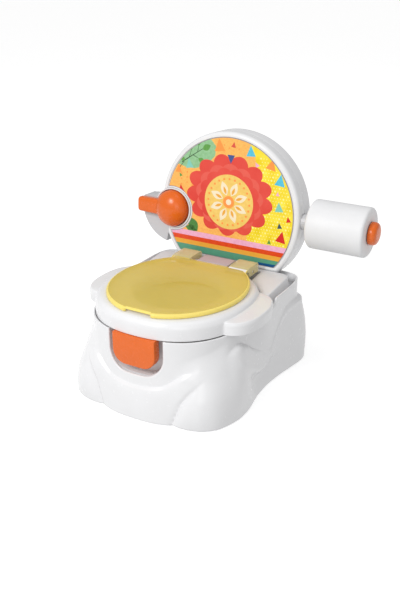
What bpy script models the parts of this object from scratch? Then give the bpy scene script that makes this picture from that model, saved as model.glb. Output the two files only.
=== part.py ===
"""Toddler potty chair with a flush lever, a paper roll holder and a hinged see-through lid.

Frame of the drawing: X to the sitter's right as seen from the front, Y to the back, Z up, floor at Z = 0.
The seat's plane of symmetry is X = 0 of the empty "potty_chair", and the seat ring is centred on its Z axis.
Metres. Every driving dimension is named here.
"""
import math

import bmesh
import bpy
from mathutils import Matrix, Vector

MM = 0.001
GAP = 0.3 * MM                      # running and fitting clearance between pieces

# ---- placing: the empty sits so that the whole object's box is centred on the world's Z axis
ROOT_X = -42.25 * MM
ROOT_Y = -41.05 * MM

# ---- base shell
WALL = 3.0 * MM
BASE_FOOT_Z = 1.5 * MM              # lower edge of the shell, which stands on rubber feet
BASE_FRONT_TOP = 136.4 * MM         # rim under the seat ring
BASE_REAR_TOP = 150.0 * MM          # rim beside and behind the deck
BASE_TOP_HALF_FRONT = 127.0 * MM
BASE_TOP_HALF_REAR = 136.5 * MM
BASE_TOP_FRONT = 131.5 * MM
BASE_TOP_REAR = 184.0 * MM
PLATE_TOP = 133.0 * MM              # shelf that carries the bowl and the deck
PLATE_THICK = 3.0 * MM
WELL_RX, WELL_RY = 90.0 * MM, 94.0 * MM
# outline on the floor, right half, front to back
FLOOR_OUTLINE = [(0, -141), (31, -139.5), (64, -131.5), (93, -127), (114, -119), (131, -101),
                 (143, -66), (144, -30), (139.5, 17), (137.5, 59), (138.5, 95), (143.5, 126),
                 (148, 158), (146, 178), (132, 194), (100, 199), (50, 201), (0, 201)]
# height of the line where the upper wall turns out into the paws: degrees from the front, height
SHOULDER_LINE = [(0, 56), (19.5, 62), (26.5, 72), (34, 85), (52, 97), (64, 108), (74, 114), (84, 103),
                 (91, 91), (100.5, 78), (107, 69.5), (110.5, 69), (114, 75), (117, 87), (121.5, 102),
                 (126, 114), (132, 121), (141, 119), (155, 118), (180, 118)]

# ---- front recess and bowl
RECESS_HALF = 47.0 * MM
RECESS_BOTTOM = 73.5 * MM
RECESS_BACK = -108.0 * MM
BOWL_RX, BOWL_RY = 84.0 * MM, 88.0 * MM       # mouth of the bowl
BOWL_FLANGE = 11.0 * MM                       # width of the flange it hangs by
BOWL_WALL = 2.6 * MM
BOWL_DEPTH = 105.0 * MM
GRIP_HALF = 37.0 * MM
GRIP_FRONT, GRIP_BACK = -132.5 * MM, -118.5 * MM
GRIP_TOP, GRIP_BOTTOM = 136.4 * MM, 87.0 * MM

# ---- seat ring
RING_BOTTOM = 137.0 * MM
RING_TOP = 166.5 * MM
RING_HALF = 124.0 * MM
RING_FRONT = 129.0 * MM
RING_REAR = 118.0 * MM
RING_REAR_CUT = 100.0 * MM
SEAT_RX, SEAT_RY = 69.0 * MM, 72.0 * MM
WING_CX, WING_CY, WING_RX, WING_RY = 108.0 * MM, 2.0 * MM, 44.0 * MM, 64.0 * MM
WING_TOP = 157.8 * MM

# ---- lid and its hinge
LID_RX, LID_RY = 110.0 * MM, 122.0 * MM
LID_TOP = 173.8 * MM
LID_SKIRT = 167.2 * MM
LID_WALL = 2.4 * MM
LID_REAR_CUT = 102.0 * MM
LID_NOTCH_HALF, LID_NOTCH_Y = 24.0 * MM, 117.0 * MM     # finger notch in the front edge
HINGE_Y, HINGE_Z = 118.0 * MM, 165.5 * MM
KNUCKLE_IN, KNUCKLE_OUT = 37.0 * MM, 71.5 * MM
HINGE_BOSS_HALF = 29.0 * MM
PIN_R = 2.5 * MM

# ---- rear deck
DECK_HALF = 122.0 * MM
DECK_HALF_LOW = 129.0 * MM
DECK_REAR = 155.0 * MM
DECK_TOP_REAR = 158.0 * MM
DECK_SLOPE = 0.073                  # falls towards the front

# ---- backrest, drawn in a frame tilted back by BACK_TILT: x, depth behind the face, height u
BACK_TILT = math.radians(3.7)
BACK_Y, BACK_Z = 161.2 * MM, 245.3 * MM
BACK_RX, BACK_RU = 131.0 * MM, 134.5 * MM
BACK_CUT = 91.5 * MM
BACK_DEPTH = 54.0 * MM
BACK_SPLIT = 21.0 * MM
BACK_WALL = 2.6 * MM
PANEL_RX, PANEL_RU = 120.8 * MM, 125.6 * MM

# ---- flush lever, in the backrest's frame
LEVER_X, LEVER_U = -108.4 * MM, -9.9 * MM
SOCKET_R = 35.8 * MM
HOUSING_R = 59.5 * MM
BALL_R = 28.5 * MM
ARM_TIP_X = -175.0 * MM

# ---- roll and spindle
ROLL_Y, ROLL_Z = 180.0 * MM, 244.7 * MM
ROLL_X0, ROLL_X1 = 148.0 * MM, 244.8 * MM
ROLL_R = 40.7 * MM
SPINDLE_R = 9.0 * MM
KNOB_R = 18.7 * MM
KNOB_X1 = 259.5 * MM

for old in list(bpy.data.objects):
    bpy.data.objects.remove(old, do_unlink=True)

PARTS = bpy.data.collections.new("potty_training_chair")
CUTTERS = bpy.data.collections.new("cutters")
bpy.context.scene.collection.children.link(PARTS)
bpy.context.scene.collection.children.link(CUTTERS)


# ------------------------------------------------------------------ materials
def material(name, colour, roughness, metallic=0.0, alpha=1.0):
    made = bpy.data.materials.new(name)
    made.use_nodes = True
    shader = made.node_tree.nodes["Principled BSDF"]
    shader.inputs["Base Color"].default_value = (*colour, 1.0)
    shader.inputs["Roughness"].default_value = roughness
    shader.inputs["Metallic"].default_value = metallic
    shader.inputs["Alpha"].default_value = alpha
    made.diffuse_color = (*colour, alpha)
    return made


WHITE = material("white_plastic", (0.86, 0.86, 0.87), 0.28)
SOFT_WHITE = material("soft_white_plastic", (0.82, 0.82, 0.83), 0.4)
INNER_WHITE = material("inner_white_plastic", (0.78, 0.78, 0.76), 0.45)
ORANGE = material("orange_plastic", (0.87, 0.17, 0.02), 0.3)
YELLOW = material("clear_yellow_plastic", (0.86, 0.66, 0.15), 0.12, alpha=0.7)
PRINT = material("printed_sheet", (0.85, 0.45, 0.12), 0.35)
ROLL = material("roll_white", (0.85, 0.85, 0.85), 0.5)
RUBBER = material("grey_rubber", (0.12, 0.12, 0.12), 0.8)
STEEL = material("steel", (0.6, 0.6, 0.62), 0.3, 1.0)
BOARD = material("green_board", (0.03, 0.22, 0.08), 0.5)
BLACK = material("black_plastic", (0.03, 0.03, 0.03), 0.5)
CELL = material("battery_sleeve", (0.05, 0.12, 0.3), 0.35)


# ------------------------------------------------------------------ objects
def link(obj, collection, parent=None):
    collection.objects.link(obj)
    if collection is CUTTERS:
        obj.hide_render = True
        obj.display_type = "WIRE"
    obj.parent = parent
    return obj


def empty(name, location, rotation=(0, 0, 0), parent=None):
    made = bpy.data.objects.new(name, None)
    made.location = location
    made.rotation_euler = rotation
    made.empty_display_size = 0.02
    PARTS.objects.link(made)
    made.parent = parent
    return made


def finish(obj, mat, angle=35.0):
    obj.data.materials.clear()
    obj.data.materials.append(mat)
    obj.data.shade_smooth()
    obj.data.set_sharp_from_angle(angle=math.radians(angle))
    return obj


def from_bmesh(name, bm, mat, parent, collection=None, angle=35.0, location=(0, 0, 0), rotation=(0, 0, 0)):
    bmesh.ops.recalc_face_normals(bm, faces=bm.faces)
    mesh = bpy.data.meshes.new(name)
    bm.to_mesh(mesh)
    bm.free()
    obj = bpy.data.objects.new(name, mesh)
    link(obj, collection or PARTS, parent)
    obj.location = location
    obj.rotation_euler = rotation
    return finish(obj, mat, angle)


def loft(name, rings, mat, parent, around=True, collection=None, angle=35.0, location=(0, 0, 0)):
    """A skin through closed rings of equal point count. around=True joins the last ring to the first, as in a tyre;
    otherwise the first and last rings are single points or are filled."""
    bm = bmesh.new()
    rows = [[bm.verts.new(Vector(p)) for p in ring] for ring in rings]
    pairs = list(zip(rows, rows[1:]))
    if around:
        pairs.append((rows[-1], rows[0]))
    for low, high in pairs:
        if len(low) == 1 and len(high) == 1:
            continue
        count = max(len(low), len(high))
        for i in range(count):
            j = (i + 1) % count
            if len(low) == 1:
                bm.faces.new((low[0], high[j], high[i]))
            elif len(high) == 1:
                bm.faces.new((low[i], low[j], high[0]))
            else:
                bm.faces.new((low[i], low[j], high[j], high[i]))
    if not around:
        for row in (rows[0], rows[-1]):
            if len(row) > 1:
                bm.faces.new(row)
    return from_bmesh(name, bm, mat, parent, collection, angle, location)


def cylinder(name, radius, start, end, mat, parent, sides=24, radius2=None, collection=None, bevel=0.0):
    """A cylinder or cone between two points of the parent's frame."""
    start, end = Vector(start), Vector(end)
    span = end - start
    bm = bmesh.new()
    bmesh.ops.create_cone(bm, cap_ends=True, segments=sides, radius1=radius,
                          radius2=radius if radius2 is None else radius2, depth=span.length)
    turn = span.normalized().to_track_quat("Z", "Y").to_matrix().to_4x4()
    obj = from_bmesh(name, bm, mat, parent, collection)
    obj.location = (start + end) / 2
    obj.rotation_euler = turn.to_euler()
    if bevel:
        edge = obj.modifiers.new("edge", "BEVEL")
        edge.width = bevel
        edge.segments = 2
        edge.limit_method = "ANGLE"
        edge.angle_limit = math.radians(50)
    return obj


def box(name, low, high, mat, parent, collection=None, bevel=0.0, segments=2):
    low, high = Vector(low), Vector(high)
    bm = bmesh.new()
    bmesh.ops.create_cube(bm, size=1.0)
    size = high - low
    bmesh.ops.scale(bm, vec=size, verts=bm.verts)
    obj = from_bmesh(name, bm, mat, parent, collection)
    obj.location = (low + high) / 2
    if bevel:
        edge = obj.modifiers.new("edge", "BEVEL")
        edge.width = bevel
        edge.segments = segments
        edge.limit_method = "ANGLE"
    return obj


def plate(name, outline, plane, low, high, mat, parent, collection=None, bevel=0.0, holes=()):
    """A flat outline given a thickness. plane "xz" extrudes along y, "yz" along x, "xy" along z, from low to high."""
    curve = bpy.data.curves.new(name, "CURVE")
    curve.dimensions = "2D"
    curve.fill_mode = "BOTH"
    curve.extrude = (high - low) / 2
    for ring in (outline, *holes):
        spline = curve.splines.new("POLY")
        spline.points.add(len(ring) - 1)
        for point, (a, b) in zip(spline.points, ring):
            point.co = (a, b, 0, 1)
        spline.use_cyclic_u = True
    guide = bpy.data.objects.new(name + "_outline", curve)
    bpy.context.scene.collection.objects.link(guide)
    graph = bpy.context.evaluated_depsgraph_get()
    mesh = bpy.data.meshes.new_from_object(guide.evaluated_get(graph))
    bpy.data.objects.remove(guide, do_unlink=True)
    middle = (low + high) / 2
    turn = {
        "xy": Matrix(((1, 0, 0, 0), (0, 1, 0, 0), (0, 0, 1, middle), (0, 0, 0, 1))),
        "xz": Matrix(((1, 0, 0, 0), (0, 0, 1, middle), (0, 1, 0, 0), (0, 0, 0, 1))),
        "yz": Matrix(((0, 0, 1, middle), (1, 0, 0, 0), (0, 1, 0, 0), (0, 0, 0, 1))),
    }[plane]
    bm = bmesh.new()
    bm.from_mesh(mesh)
    bpy.data.meshes.remove(mesh)
    bmesh.ops.remove_doubles(bm, verts=bm.verts, dist=1e-6)
    bmesh.ops.transform(bm, matrix=turn, verts=bm.verts)
    obj = from_bmesh(name, bm, mat, parent, collection)
    if bevel:
        edge = obj.modifiers.new("edge", "BEVEL")
        edge.width = bevel
        edge.segments = 2
        edge.limit_method = "ANGLE"
        edge.angle_limit = math.radians(50)
    return obj


def turned(name, profile, mat, parent, location, axis="z", steps=32, collection=None):
    """A closed solid of revolution: profile is (radius, height) down the outer side, ends on the axis."""
    mesh = bpy.data.meshes.new(name)
    mesh.from_pydata([(r, 0, h) for r, h in profile], [(i, i + 1) for i in range(len(profile) - 1)], [])
    obj = bpy.data.objects.new(name, mesh)
    link(obj, collection or PARTS, parent)
    screw = obj.modifiers.new("turn", "SCREW")
    screw.axis = "Z"
    screw.steps = screw.render_steps = steps
    screw.use_merge_vertices = True
    screw.merge_threshold = 0.00001
    screw.use_smooth_shade = True
    obj.location = location
    obj.rotation_euler = {"z": (0, 0, 0), "x": (0, math.pi / 2, 0), "-x": (0, -math.pi / 2, 0),
                          "y": (-math.pi / 2, 0, 0), "-y": (math.pi / 2, 0, 0)}[axis]
    mesh.materials.append(mat)
    return obj


def ring_turned(name, profile, mat, parent, location, axis="z", steps=32, collection=None):
    """A tube or ring: the closed profile stays off the axis."""
    mesh = bpy.data.meshes.new(name)
    count = len(profile)
    mesh.from_pydata([(r, 0, h) for r, h in profile], [(i, (i + 1) % count) for i in range(count)], [])
    obj = bpy.data.objects.new(name, mesh)
    link(obj, collection or PARTS, parent)
    screw = obj.modifiers.new("turn", "SCREW")
    screw.axis = "Z"
    screw.steps = screw.render_steps = steps
    screw.use_merge_vertices = True
    screw.merge_threshold = 0.00001
    screw.use_smooth_shade = True
    obj.location = location
    obj.rotation_euler = {"z": (0, 0, 0), "x": (0, math.pi / 2, 0), "-x": (0, -math.pi / 2, 0),
                          "y": (-math.pi / 2, 0, 0), "-y": (math.pi / 2, 0, 0)}[axis]
    mesh.materials.append(mat)
    return obj


def boolean(obj, tool, operation="DIFFERENCE", solver="EXACT"):
    step = obj.modifiers.new(operation.lower() + "_" + tool.name, "BOOLEAN")
    step.operation = operation
    step.object = tool
    step.solver = solver
    return obj


# ------------------------------------------------------------------ outlines
def smoothstep(edge0, edge1, x):
    t = min(1.0, max(0.0, (x - edge0) / (edge1 - edge0)))
    return t * t * (3 - 2 * t)


def polar(phi, a, b, n):
    """Radius of a superellipse at phi from the front (-Y) towards +X."""
    return (abs(math.sin(phi) / a) ** n + abs(math.cos(phi) / b) ** n) ** (-1 / n)


def catmull(points, per):
    """A smooth closed curve through the points, per steps in each span."""
    out = []
    count = len(points)
    for i in range(count):
        p0, p1, p2, p3 = (Vector(points[(i + k) % count]) for k in (-1, 0, 1, 2))
        for s in range(per):
            t = s / per
            out.append(0.5 * ((2 * p1) + (p2 - p0) * t + (2 * p0 - 5 * p1 + 4 * p2 - p3) * t * t
                              + (3 * p1 - p0 - 3 * p2 + p3) * t ** 3))
    return out


def floor_table():
    right = [(x * MM, y * MM) for x, y in FLOOR_OUTLINE]
    left = [(-x, y) for x, y in right[-2:0:-1]]
    table = []
    for p in catmull([(x, y) for x, y in right + left], 12):
        table.append((math.atan2(p.x, -p.y) % (2 * math.pi), p.length))
    table.sort()
    return table


FLOOR_TABLE = floor_table()


def lookup(table, phi, period=2 * math.pi):
    phi %= period
    before = [row for row in table if row[0] <= phi]
    after = [row for row in table if row[0] > phi]
    a = before[-1] if before else (table[-1][0] - period, table[-1][1])
    b = after[0] if after else (table[0][0] + period, table[0][1])
    t = (phi - a[0]) / (b[0] - a[0])
    return a[1] + (b[1] - a[1]) * t


def shoulder(phi):
    deg = abs((math.degrees(phi) + 180) % 360 - 180)
    knots = SHOULDER_LINE
    for k in range(len(knots) - 1):
        if knots[k][0] <= deg <= knots[k + 1][0]:
            break
    d0, d1 = knots[k], knots[k + 1]
    before, after = knots[max(0, k - 1)], knots[min(len(knots) - 1, k + 2)]
    span = d1[0] - d0[0]
    m0 = (d1[1] - before[1]) / max(1e-6, d1[0] - before[0]) if k else 0.0
    m1 = (after[1] - d0[1]) / max(1e-6, after[0] - d0[0]) if k + 2 < len(knots) else 0.0
    t = (deg - d0[0]) / span
    h = ((2 * t ** 3 - 3 * t * t + 1) * d0[1] + (t ** 3 - 2 * t * t + t) * span * m0
         + (3 * t * t - 2 * t ** 3) * d1[1] + (t ** 3 - t * t) * span * m1)
    return h * MM


def base_top(phi):
    c = math.cos(phi)
    a = BASE_TOP_HALF_FRONT + (BASE_TOP_HALF_REAR - BASE_TOP_HALF_FRONT) * smoothstep(0.17, -0.34, c)
    if c >= 0:
        return polar(phi, a, BASE_TOP_FRONT, 2.4)
    n = 2.4 + (11.0 - 2.4) * smoothstep(0.0, -0.35, c)
    return polar(phi, a, BASE_TOP_REAR, n)


def base_top_z(phi):
    y = -math.cos(phi) * base_top(phi)
    return BASE_FRONT_TOP + (BASE_REAR_TOP - BASE_FRONT_TOP) * smoothstep(66 * MM, 75 * MM, y)


def base_radius(phi, w):
    """Outer radius, w = 0 at the shoulder line and above, 1 at the floor."""
    top, low = base_top(phi), lookup(FLOOR_TABLE, phi)
    if w <= 0:
        return top
    flare = 1 - (1 - w) ** 2.3
    deg = abs((math.degrees(phi) + 180) % 360 - 180)
    haunch = smoothstep(118, 132, deg)
    return top + (low - top) * flare + 3.0 * MM * haunch * math.sin(math.pi * w) ** 1.5


def sample_angles(count, radius):
    """Angles spaced evenly along the outline, so that its corners are well described."""
    fine = [radius(2 * math.pi * i / 2880) for i in range(2880)]
    pts = [Vector((r * math.sin(2 * math.pi * i / 2880), -r * math.cos(2 * math.pi * i / 2880)))
           for i, r in enumerate(fine)]
    length = [0.0]
    for i in range(2880):
        length.append(length[-1] + (pts[(i + 1) % 2880] - pts[i]).length)
    out = []
    k = 0
    for j in range(count):
        want = length[-1] * j / count
        while length[k + 1] < want:
            k += 1
        t = (want - length[k]) / (length[k + 1] - length[k])
        out.append(2 * math.pi * (k + t) / 2880)
    return out


def at(phi, r, z):
    return (r * math.sin(phi), -r * math.cos(phi), z)


def ellipse_r(phi, a, b):
    return polar(phi, a, b, 2.0)


# ------------------------------------------------------------------ frames
ROOT = empty("potty_chair", (ROOT_X, ROOT_Y, 0))
RING_AXIS = empty("ring_lift_axis", (0, 0, 0), parent=ROOT)
LID_AXIS = empty("lid_hinge_axis", (0, HINGE_Y, HINGE_Z), parent=RING_AXIS)
BACK = empty("backrest_frame", (0, BACK_Y, BACK_Z), (-BACK_TILT, 0, 0), ROOT)
LEVER_AXIS = empty("flush_lever_axis", (LEVER_X, 0, LEVER_U), parent=BACK)
ROLL_AXIS = empty("roll_axis", (ROLL_X0, ROLL_Y, ROLL_Z), parent=ROOT)
DOOR_AXIS = empty("battery_door_axis", (0, BACK_DEPTH + 0.2 * MM, -66.5 * MM), parent=BACK)


# ------------------------------------------------------------------ base shell
def build_base():
    angles = sample_angles(60, lambda phi: (base_top(phi) + lookup(FLOOR_TABLE, phi)) / 2)
    below = (1.0, 0.8, 0.5, 0.25, 0.1, 0.0)
    above = (0.5, 1.0)

    def ring(function):
        return [at(phi, *function(phi)) for phi in angles]

    def low_z(phi, w):
        return BASE_FOOT_Z + (shoulder(phi) - BASE_FOOT_Z) * (1 - w)

    def high_z(phi, t, top):
        return shoulder(phi) + (top - shoulder(phi)) * t

    rings = []
    for w in below:
        rings.append(ring(lambda phi: (base_radius(phi, w), low_z(phi, w))))
    for t in above:
        rings.append(ring(lambda phi: (base_top(phi), high_z(phi, t, base_top_z(phi)))))
    rings.append(ring(lambda phi: (base_top(phi) - WALL, base_top_z(phi))))
    rings.append(ring(lambda phi: (base_top(phi) - WALL, PLATE_TOP)))
    rings.append(ring(lambda phi: (ellipse_r(phi, WELL_RX, WELL_RY), PLATE_TOP)))
    rings.append(ring(lambda phi: (ellipse_r(phi, WELL_RX, WELL_RY), PLATE_TOP - 9 * MM)))
    rings.append(ring(lambda phi: (ellipse_r(phi, WELL_RX, WELL_RY) + 2.5 * MM, PLATE_TOP - 9 * MM)))
    rings.append(ring(lambda phi: (ellipse_r(phi, WELL_RX, WELL_RY) + 2.5 * MM, PLATE_TOP - PLATE_THICK)))
    rings.append(ring(lambda phi: (base_top(phi) - WALL, PLATE_TOP - PLATE_THICK)))
    for w in below[::-1]:
        if w in (0.8, 0.1):
            continue
        rings.append(ring(lambda phi: (base_radius(phi, w) - WALL, low_z(phi, w))))
    base = loft("base_shell", rings, WHITE, ROOT, angle=30)

    # front recess: a U-shaped pocket, open at the front and at the top
    def u_shape(half, bottom, top, corner, steps=6):
        pts = [(-half, top)]
        for i in range(steps + 1):
            a = math.pi + math.pi / 2 * i / steps
            pts.append((-half + corner + corner * math.cos(a), bottom + corner + corner * math.sin(a)))
        for i in range(steps + 1):
            a = 1.5 * math.pi + math.pi / 2 * i / steps
            pts.append((half - corner + corner * math.cos(a), bottom + corner + corner * math.sin(a)))
        pts.append((half, top))
        return pts

    pocket = plate("recess_pocket", u_shape(RECESS_HALF + WALL, RECESS_BOTTOM - WALL, PLATE_TOP - 0.8 * MM, 37 * MM),
                   "xz", -126 * MM, RECESS_BACK + WALL, WHITE, ROOT, CUTTERS)
    boolean(base, pocket, "UNION")
    opening = plate("recess_opening", u_shape(RECESS_HALF, RECESS_BOTTOM, 160 * MM, 34 * MM), "xz",
                    -160 * MM, RECESS_BACK, WHITE, ROOT, CUTTERS)
    boolean(base, opening)
    neck_way = box("neck_way", (-30 * MM, -130 * MM, 124 * MM), (30 * MM, RECESS_BACK + WALL + 0.5 * MM, 160 * MM),
                   WHITE, ROOT, CUTTERS)
    boolean(base, neck_way)
    # sockets for the backrest's tongues
    for side, x in (("left", -60), ("right", 60)):
        slot = box("tongue_slot_" + side, ((x - 20.6) * MM, 154.6 * MM, 125 * MM),
                   ((x + 20.6) * MM, 168.8 * MM, 140 * MM), WHITE, ROOT, CUTTERS)
        boolean(base, slot)
    # pads inside the lower edge that carry the rubber feet
    for name, x, y in FEET:
        lug = cylinder("foot_lug_" + name, 19.6 * MM, (x * MM, y * MM, BASE_FOOT_Z + 0.5 * MM), (x * MM, y * MM, 6.0 * MM),
                       WHITE, ROOT, 20, collection=CUTTERS)
        boolean(base, lug, "UNION")
        hole = cylinder("foot_hole_" + name, 4.3 * MM, (x * MM, y * MM, -3 * MM), (x * MM, y * MM, 12 * MM),
                        WHITE, ROOT, 16, collection=CUTTERS)
        boolean(base, hole)
    # screw holes for the deck
    for side, x in (("left", -96), ("right", 96)):
        hole = cylinder("deck_screw_hole_" + side, 2.3 * MM, (x * MM, 140 * MM, 124 * MM),
                        (x * MM, 140 * MM, 140 * MM), WHITE, ROOT, 12, collection=CUTTERS)
        boolean(base, hole)
    return base


FEET = [("front_left", -103, -101), ("front_right", 103, -101), ("rear_left", -126, 170), ("rear_right", 126, 170)]
build_base()

for foot_name, foot_x, foot_y in FEET:
    turned("foot_" + foot_name, [(0, 9.5 * MM), (3.6 * MM, 9.5 * MM), (5.4 * MM, 8.3 * MM), (5.4 * MM, 6.4 * MM), (3.9 * MM, 6.3 * MM),
                                 (3.9 * MM, 1.7 * MM), (11 * MM, 1.6 * MM), (11.5 * MM, 0.8 * MM), (10.8 * MM, 0), (0, 0)],
           RUBBER, ROOT, (foot_x * MM, foot_y * MM, 0), steps=14)


# ------------------------------------------------------------------ rear deck
def deck_front_r(phi):
    """The deck's front edge follows the seat ring."""
    return wing_radius(phi) + 2.6 * MM


def ring_radius(phi):
    c = math.cos(phi)
    r = polar(phi, RING_HALF, RING_FRONT if c >= 0 else RING_REAR, 2.33)
    if c < 0:
        r = min(r, RING_REAR_CUT / -c)
    return r


def wing_radius(phi):
    """Ring outline with the two hand wings."""
    r = ring_radius(phi)
    s, c = math.sin(phi), math.cos(phi)
    low, high = 60 * MM, 190 * MM
    def inside(rr):
        x, y = abs(rr * s), -rr * c
        return (abs((x - WING_CX) / WING_RX) ** 2.4 + abs((y - WING_CY) / WING_RY) ** 2.4) <= 1
    best = 0.0
    for k in range(0, 131):
        rr = high - (high - low) * k / 130
        if inside(rr):
            a, b = rr, min(high, rr + (high - low) / 130)
            for _ in range(20):
                m = (a + b) / 2
                a, b = (m, b) if inside(m) else (a, m)
            best = a
            break
    return max(r, best)


def build_deck():
    """Hollow raised deck behind the seat: top slopes, sides drafted, front edge follows the ring."""
    def outline(half, rear, inset, corner):
        pts = []
        start = math.radians(121.5)
        steps = 16
        for i in range(steps + 1):                     # front edge, right to left
            phi = start + (2 * math.pi - 2 * start) * i / steps
            r = deck_front_r(phi) + inset
            pts.append((r * math.sin(phi), -r * math.cos(phi)))
        first = pts[0]
        last = pts[-1]
        out = list(pts)
        out.append((-half, last[1] + 4 * MM))
        for i in range(5):
            a = math.pi - math.pi / 2 * i / 4
            out.append((-half + corner + corner * math.cos(a), rear - corner + corner * math.sin(a)))
        for i in range(5):
            a = math.pi / 2 - math.pi / 2 * i / 4
            out.append((half - corner + corner * math.cos(a), rear - corner + corner * math.sin(a)))
        out.append((half, first[1] + 4 * MM))
        return out

    def top_z(y):
        return DECK_TOP_REAR - (DECK_REAR - y) * DECK_SLOPE

    low = PLATE_TOP + GAP
    outer_low = outline(DECK_HALF_LOW, DECK_REAR - 0.2 * MM, 0.0, 14 * MM)
    outer_high = outline(DECK_HALF + 1.2 * MM, DECK_REAR - 0.2 * MM, 0.0, 13 * MM)
    outer_top = outline(DECK_HALF - 0.8 * MM, DECK_REAR - 1.6 * MM, 1.6 * MM, 11 * MM)
    inner_low = outline(DECK_HALF_LOW - 2.6 * MM, DECK_REAR - 2.8 * MM, 2.6 * MM, 11.4 * MM)
    inner_high = outline(DECK_HALF - 1.4 * MM, DECK_REAR - 2.8 * MM, 2.6 * MM, 10.4 * MM)
    rings = [
        [(x, y, low) for x, y in outer_low],
        [(x, y, top_z(y) - 1.8 * MM) for x, y in outer_high],
        [(x, y, top_z(y)) for x, y in outer_top],
        ]
    inner = [
        [(x, y, top_z(y) - 2.8 * MM) for x, y in inner_high],
        [(x, y, low) for x, y in inner_low],
        ]
    bm = bmesh.new()
    rows = [[bm.verts.new(p) for p in ring] for ring in inner[::-1][:1] + rings]
    # outer skin: inner lower edge, outer lower edge, outer upper edge, top edge
    under = [bm.verts.new(p) for p in inner[0]]
    chain = [under] + rows
    for a, b in zip(chain, chain[1:]):
        n = len(a)
        for i in range(n):
            bm.faces.new((a[i], a[(i + 1) % n], b[(i + 1) % n], b[i]))
    bm.faces.new(chain[-1])
    bm.faces.new(chain[0][::-1])
    bm.normal_update()
    bmesh.ops.triangulate(bm, faces=[f for f in bm.faces if len(f.verts) > 4])
    deck = from_bmesh("rear_deck", bm, SOFT_WHITE, ROOT, angle=30)
    # wells that the lid's heels swing down into
    for side, x in (("left", -1), ("right", 1)):
        lo, hi = sorted((x * 35.5 * MM, x * 74.5 * MM))
        well = box("heel_well_" + side, (lo, 99.0 * MM, 120 * MM), (hi, 144.5 * MM, 175 * MM), WHITE, ROOT, CUTTERS)
        boolean(deck, well)
    # screw posts
    for side, x in (("left", -96), ("right", 96)):
        post = cylinder("deck_post_" + side, 5 * MM, (x * MM, 140 * MM, PLATE_TOP + GAP), (x * MM, 140 * MM, 154.9 * MM),
                        WHITE, ROOT, 16, collection=CUTTERS)
        boolean(deck, post, "UNION")
        bore = cylinder("deck_bore_" + side, 1.8 * MM, (x * MM, 140 * MM, 126 * MM), (x * MM, 140 * MM, 150 * MM),
                        WHITE, ROOT, 12, collection=CUTTERS)
        boolean(deck, bore)
        turned("deck_screw_" + side, [(0, 148 * MM), (1.5 * MM, 147 * MM), (1.5 * MM, 129.6 * MM),
                                      (4 * MM, 129.6 * MM), (4 * MM, 128 * MM), (2.5 * MM, 127.2 * MM), (0, 127.2 * MM)],
               STEEL, ROOT, (x * MM, 140 * MM, 0), steps=8)
    return deck


build_deck()


# ------------------------------------------------------------------ seat ring
def build_ring():
    angles = sample_angles(72, wing_radius)

    def seat(phi):
        return ellipse_r(phi, SEAT_RX, SEAT_RY)

    def row(radius, z):
        out = []
        for phi in angles:
            r, w = ring_radius(phi), wing_radius(phi)
            out.append(at(phi, radius(phi, r, w), z))
        return out

    wall = 3.0 * MM
    rings = [
        row(lambda p, r, w: w, RING_BOTTOM),
        row(lambda p, r, w: w, 152.5 * MM),
        row(lambda p, r, w: r + max(0.0, (w - r) - 1.4 * MM) - 0.1 * MM, 156.0 * MM),
        row(lambda p, r, w: r - 0.8 * MM, 158.0 * MM),
        row(lambda p, r, w: r - 3.4 * MM, 162.8 * MM),
        row(lambda p, r, w: r - 8.0 * MM, 165.7 * MM),
        row(lambda p, r, w: r - 14.0 * MM, RING_TOP),
        row(lambda p, r, w: seat(p) + 9 * MM, RING_TOP - 0.5 * MM),
        row(lambda p, r, w: seat(p) + 3 * MM, 163.0 * MM),
        row(lambda p, r, w: seat(p), 156.0 * MM),
        row(lambda p, r, w: seat(p), 146.0 * MM),
        row(lambda p, r, w: seat(p) + 2.6 * MM, 146.0 * MM),
        row(lambda p, r, w: seat(p) + 3.4 * MM, 157.5 * MM),
        row(lambda p, r, w: seat(p) + 9.5 * MM, RING_TOP - 3.5 * MM),
        row(lambda p, r, w: r - 12.5 * MM, RING_TOP - 3.6 * MM),
        row(lambda p, r, w: r - 6.0 * MM, 160.0 * MM),
        row(lambda p, r, w: w - wall - 0.4 * MM, 153.6 * MM),
        row(lambda p, r, w: w - wall, RING_BOTTOM),
    ]
    ring = loft("seat_ring", rings, WHITE, RING_AXIS, angle=32)
    # tongue and boss for the lid's pins
    side = [(86, 159.5), (143, 159.5), (143, 166.5), (140.5, 169.6), (136, 171), (109, 171), (105.6, 169.4),
            (104.6, 166.9), (104.6, 165.6), (86, 165.6)]
    boss = plate("hinge_boss", [(y * MM, z * MM) for y, z in side], "yz", -HINGE_BOSS_HALF, HINGE_BOSS_HALF,
                 WHITE, RING_AXIS, CUTTERS)
    boolean(ring, boss, "UNION")
    bore = cylinder("hinge_bore", PIN_R + GAP, (-40 * MM, HINGE_Y, HINGE_Z), (40 * MM, HINGE_Y, HINGE_Z),
                    WHITE, RING_AXIS, 16, collection=CUTTERS)
    boolean(ring, bore)
    for side_name, s in (("left", -1), ("right", 1)):
        lo, hi = sorted((s * 4 * MM, s * 70.6 * MM))
        pin = cylinder("hinge_pin_" + side_name, PIN_R, (lo, HINGE_Y, HINGE_Z), (hi, HINGE_Y, HINGE_Z),
                       STEEL, RING_AXIS, 16)
    return ring


build_ring()


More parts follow.
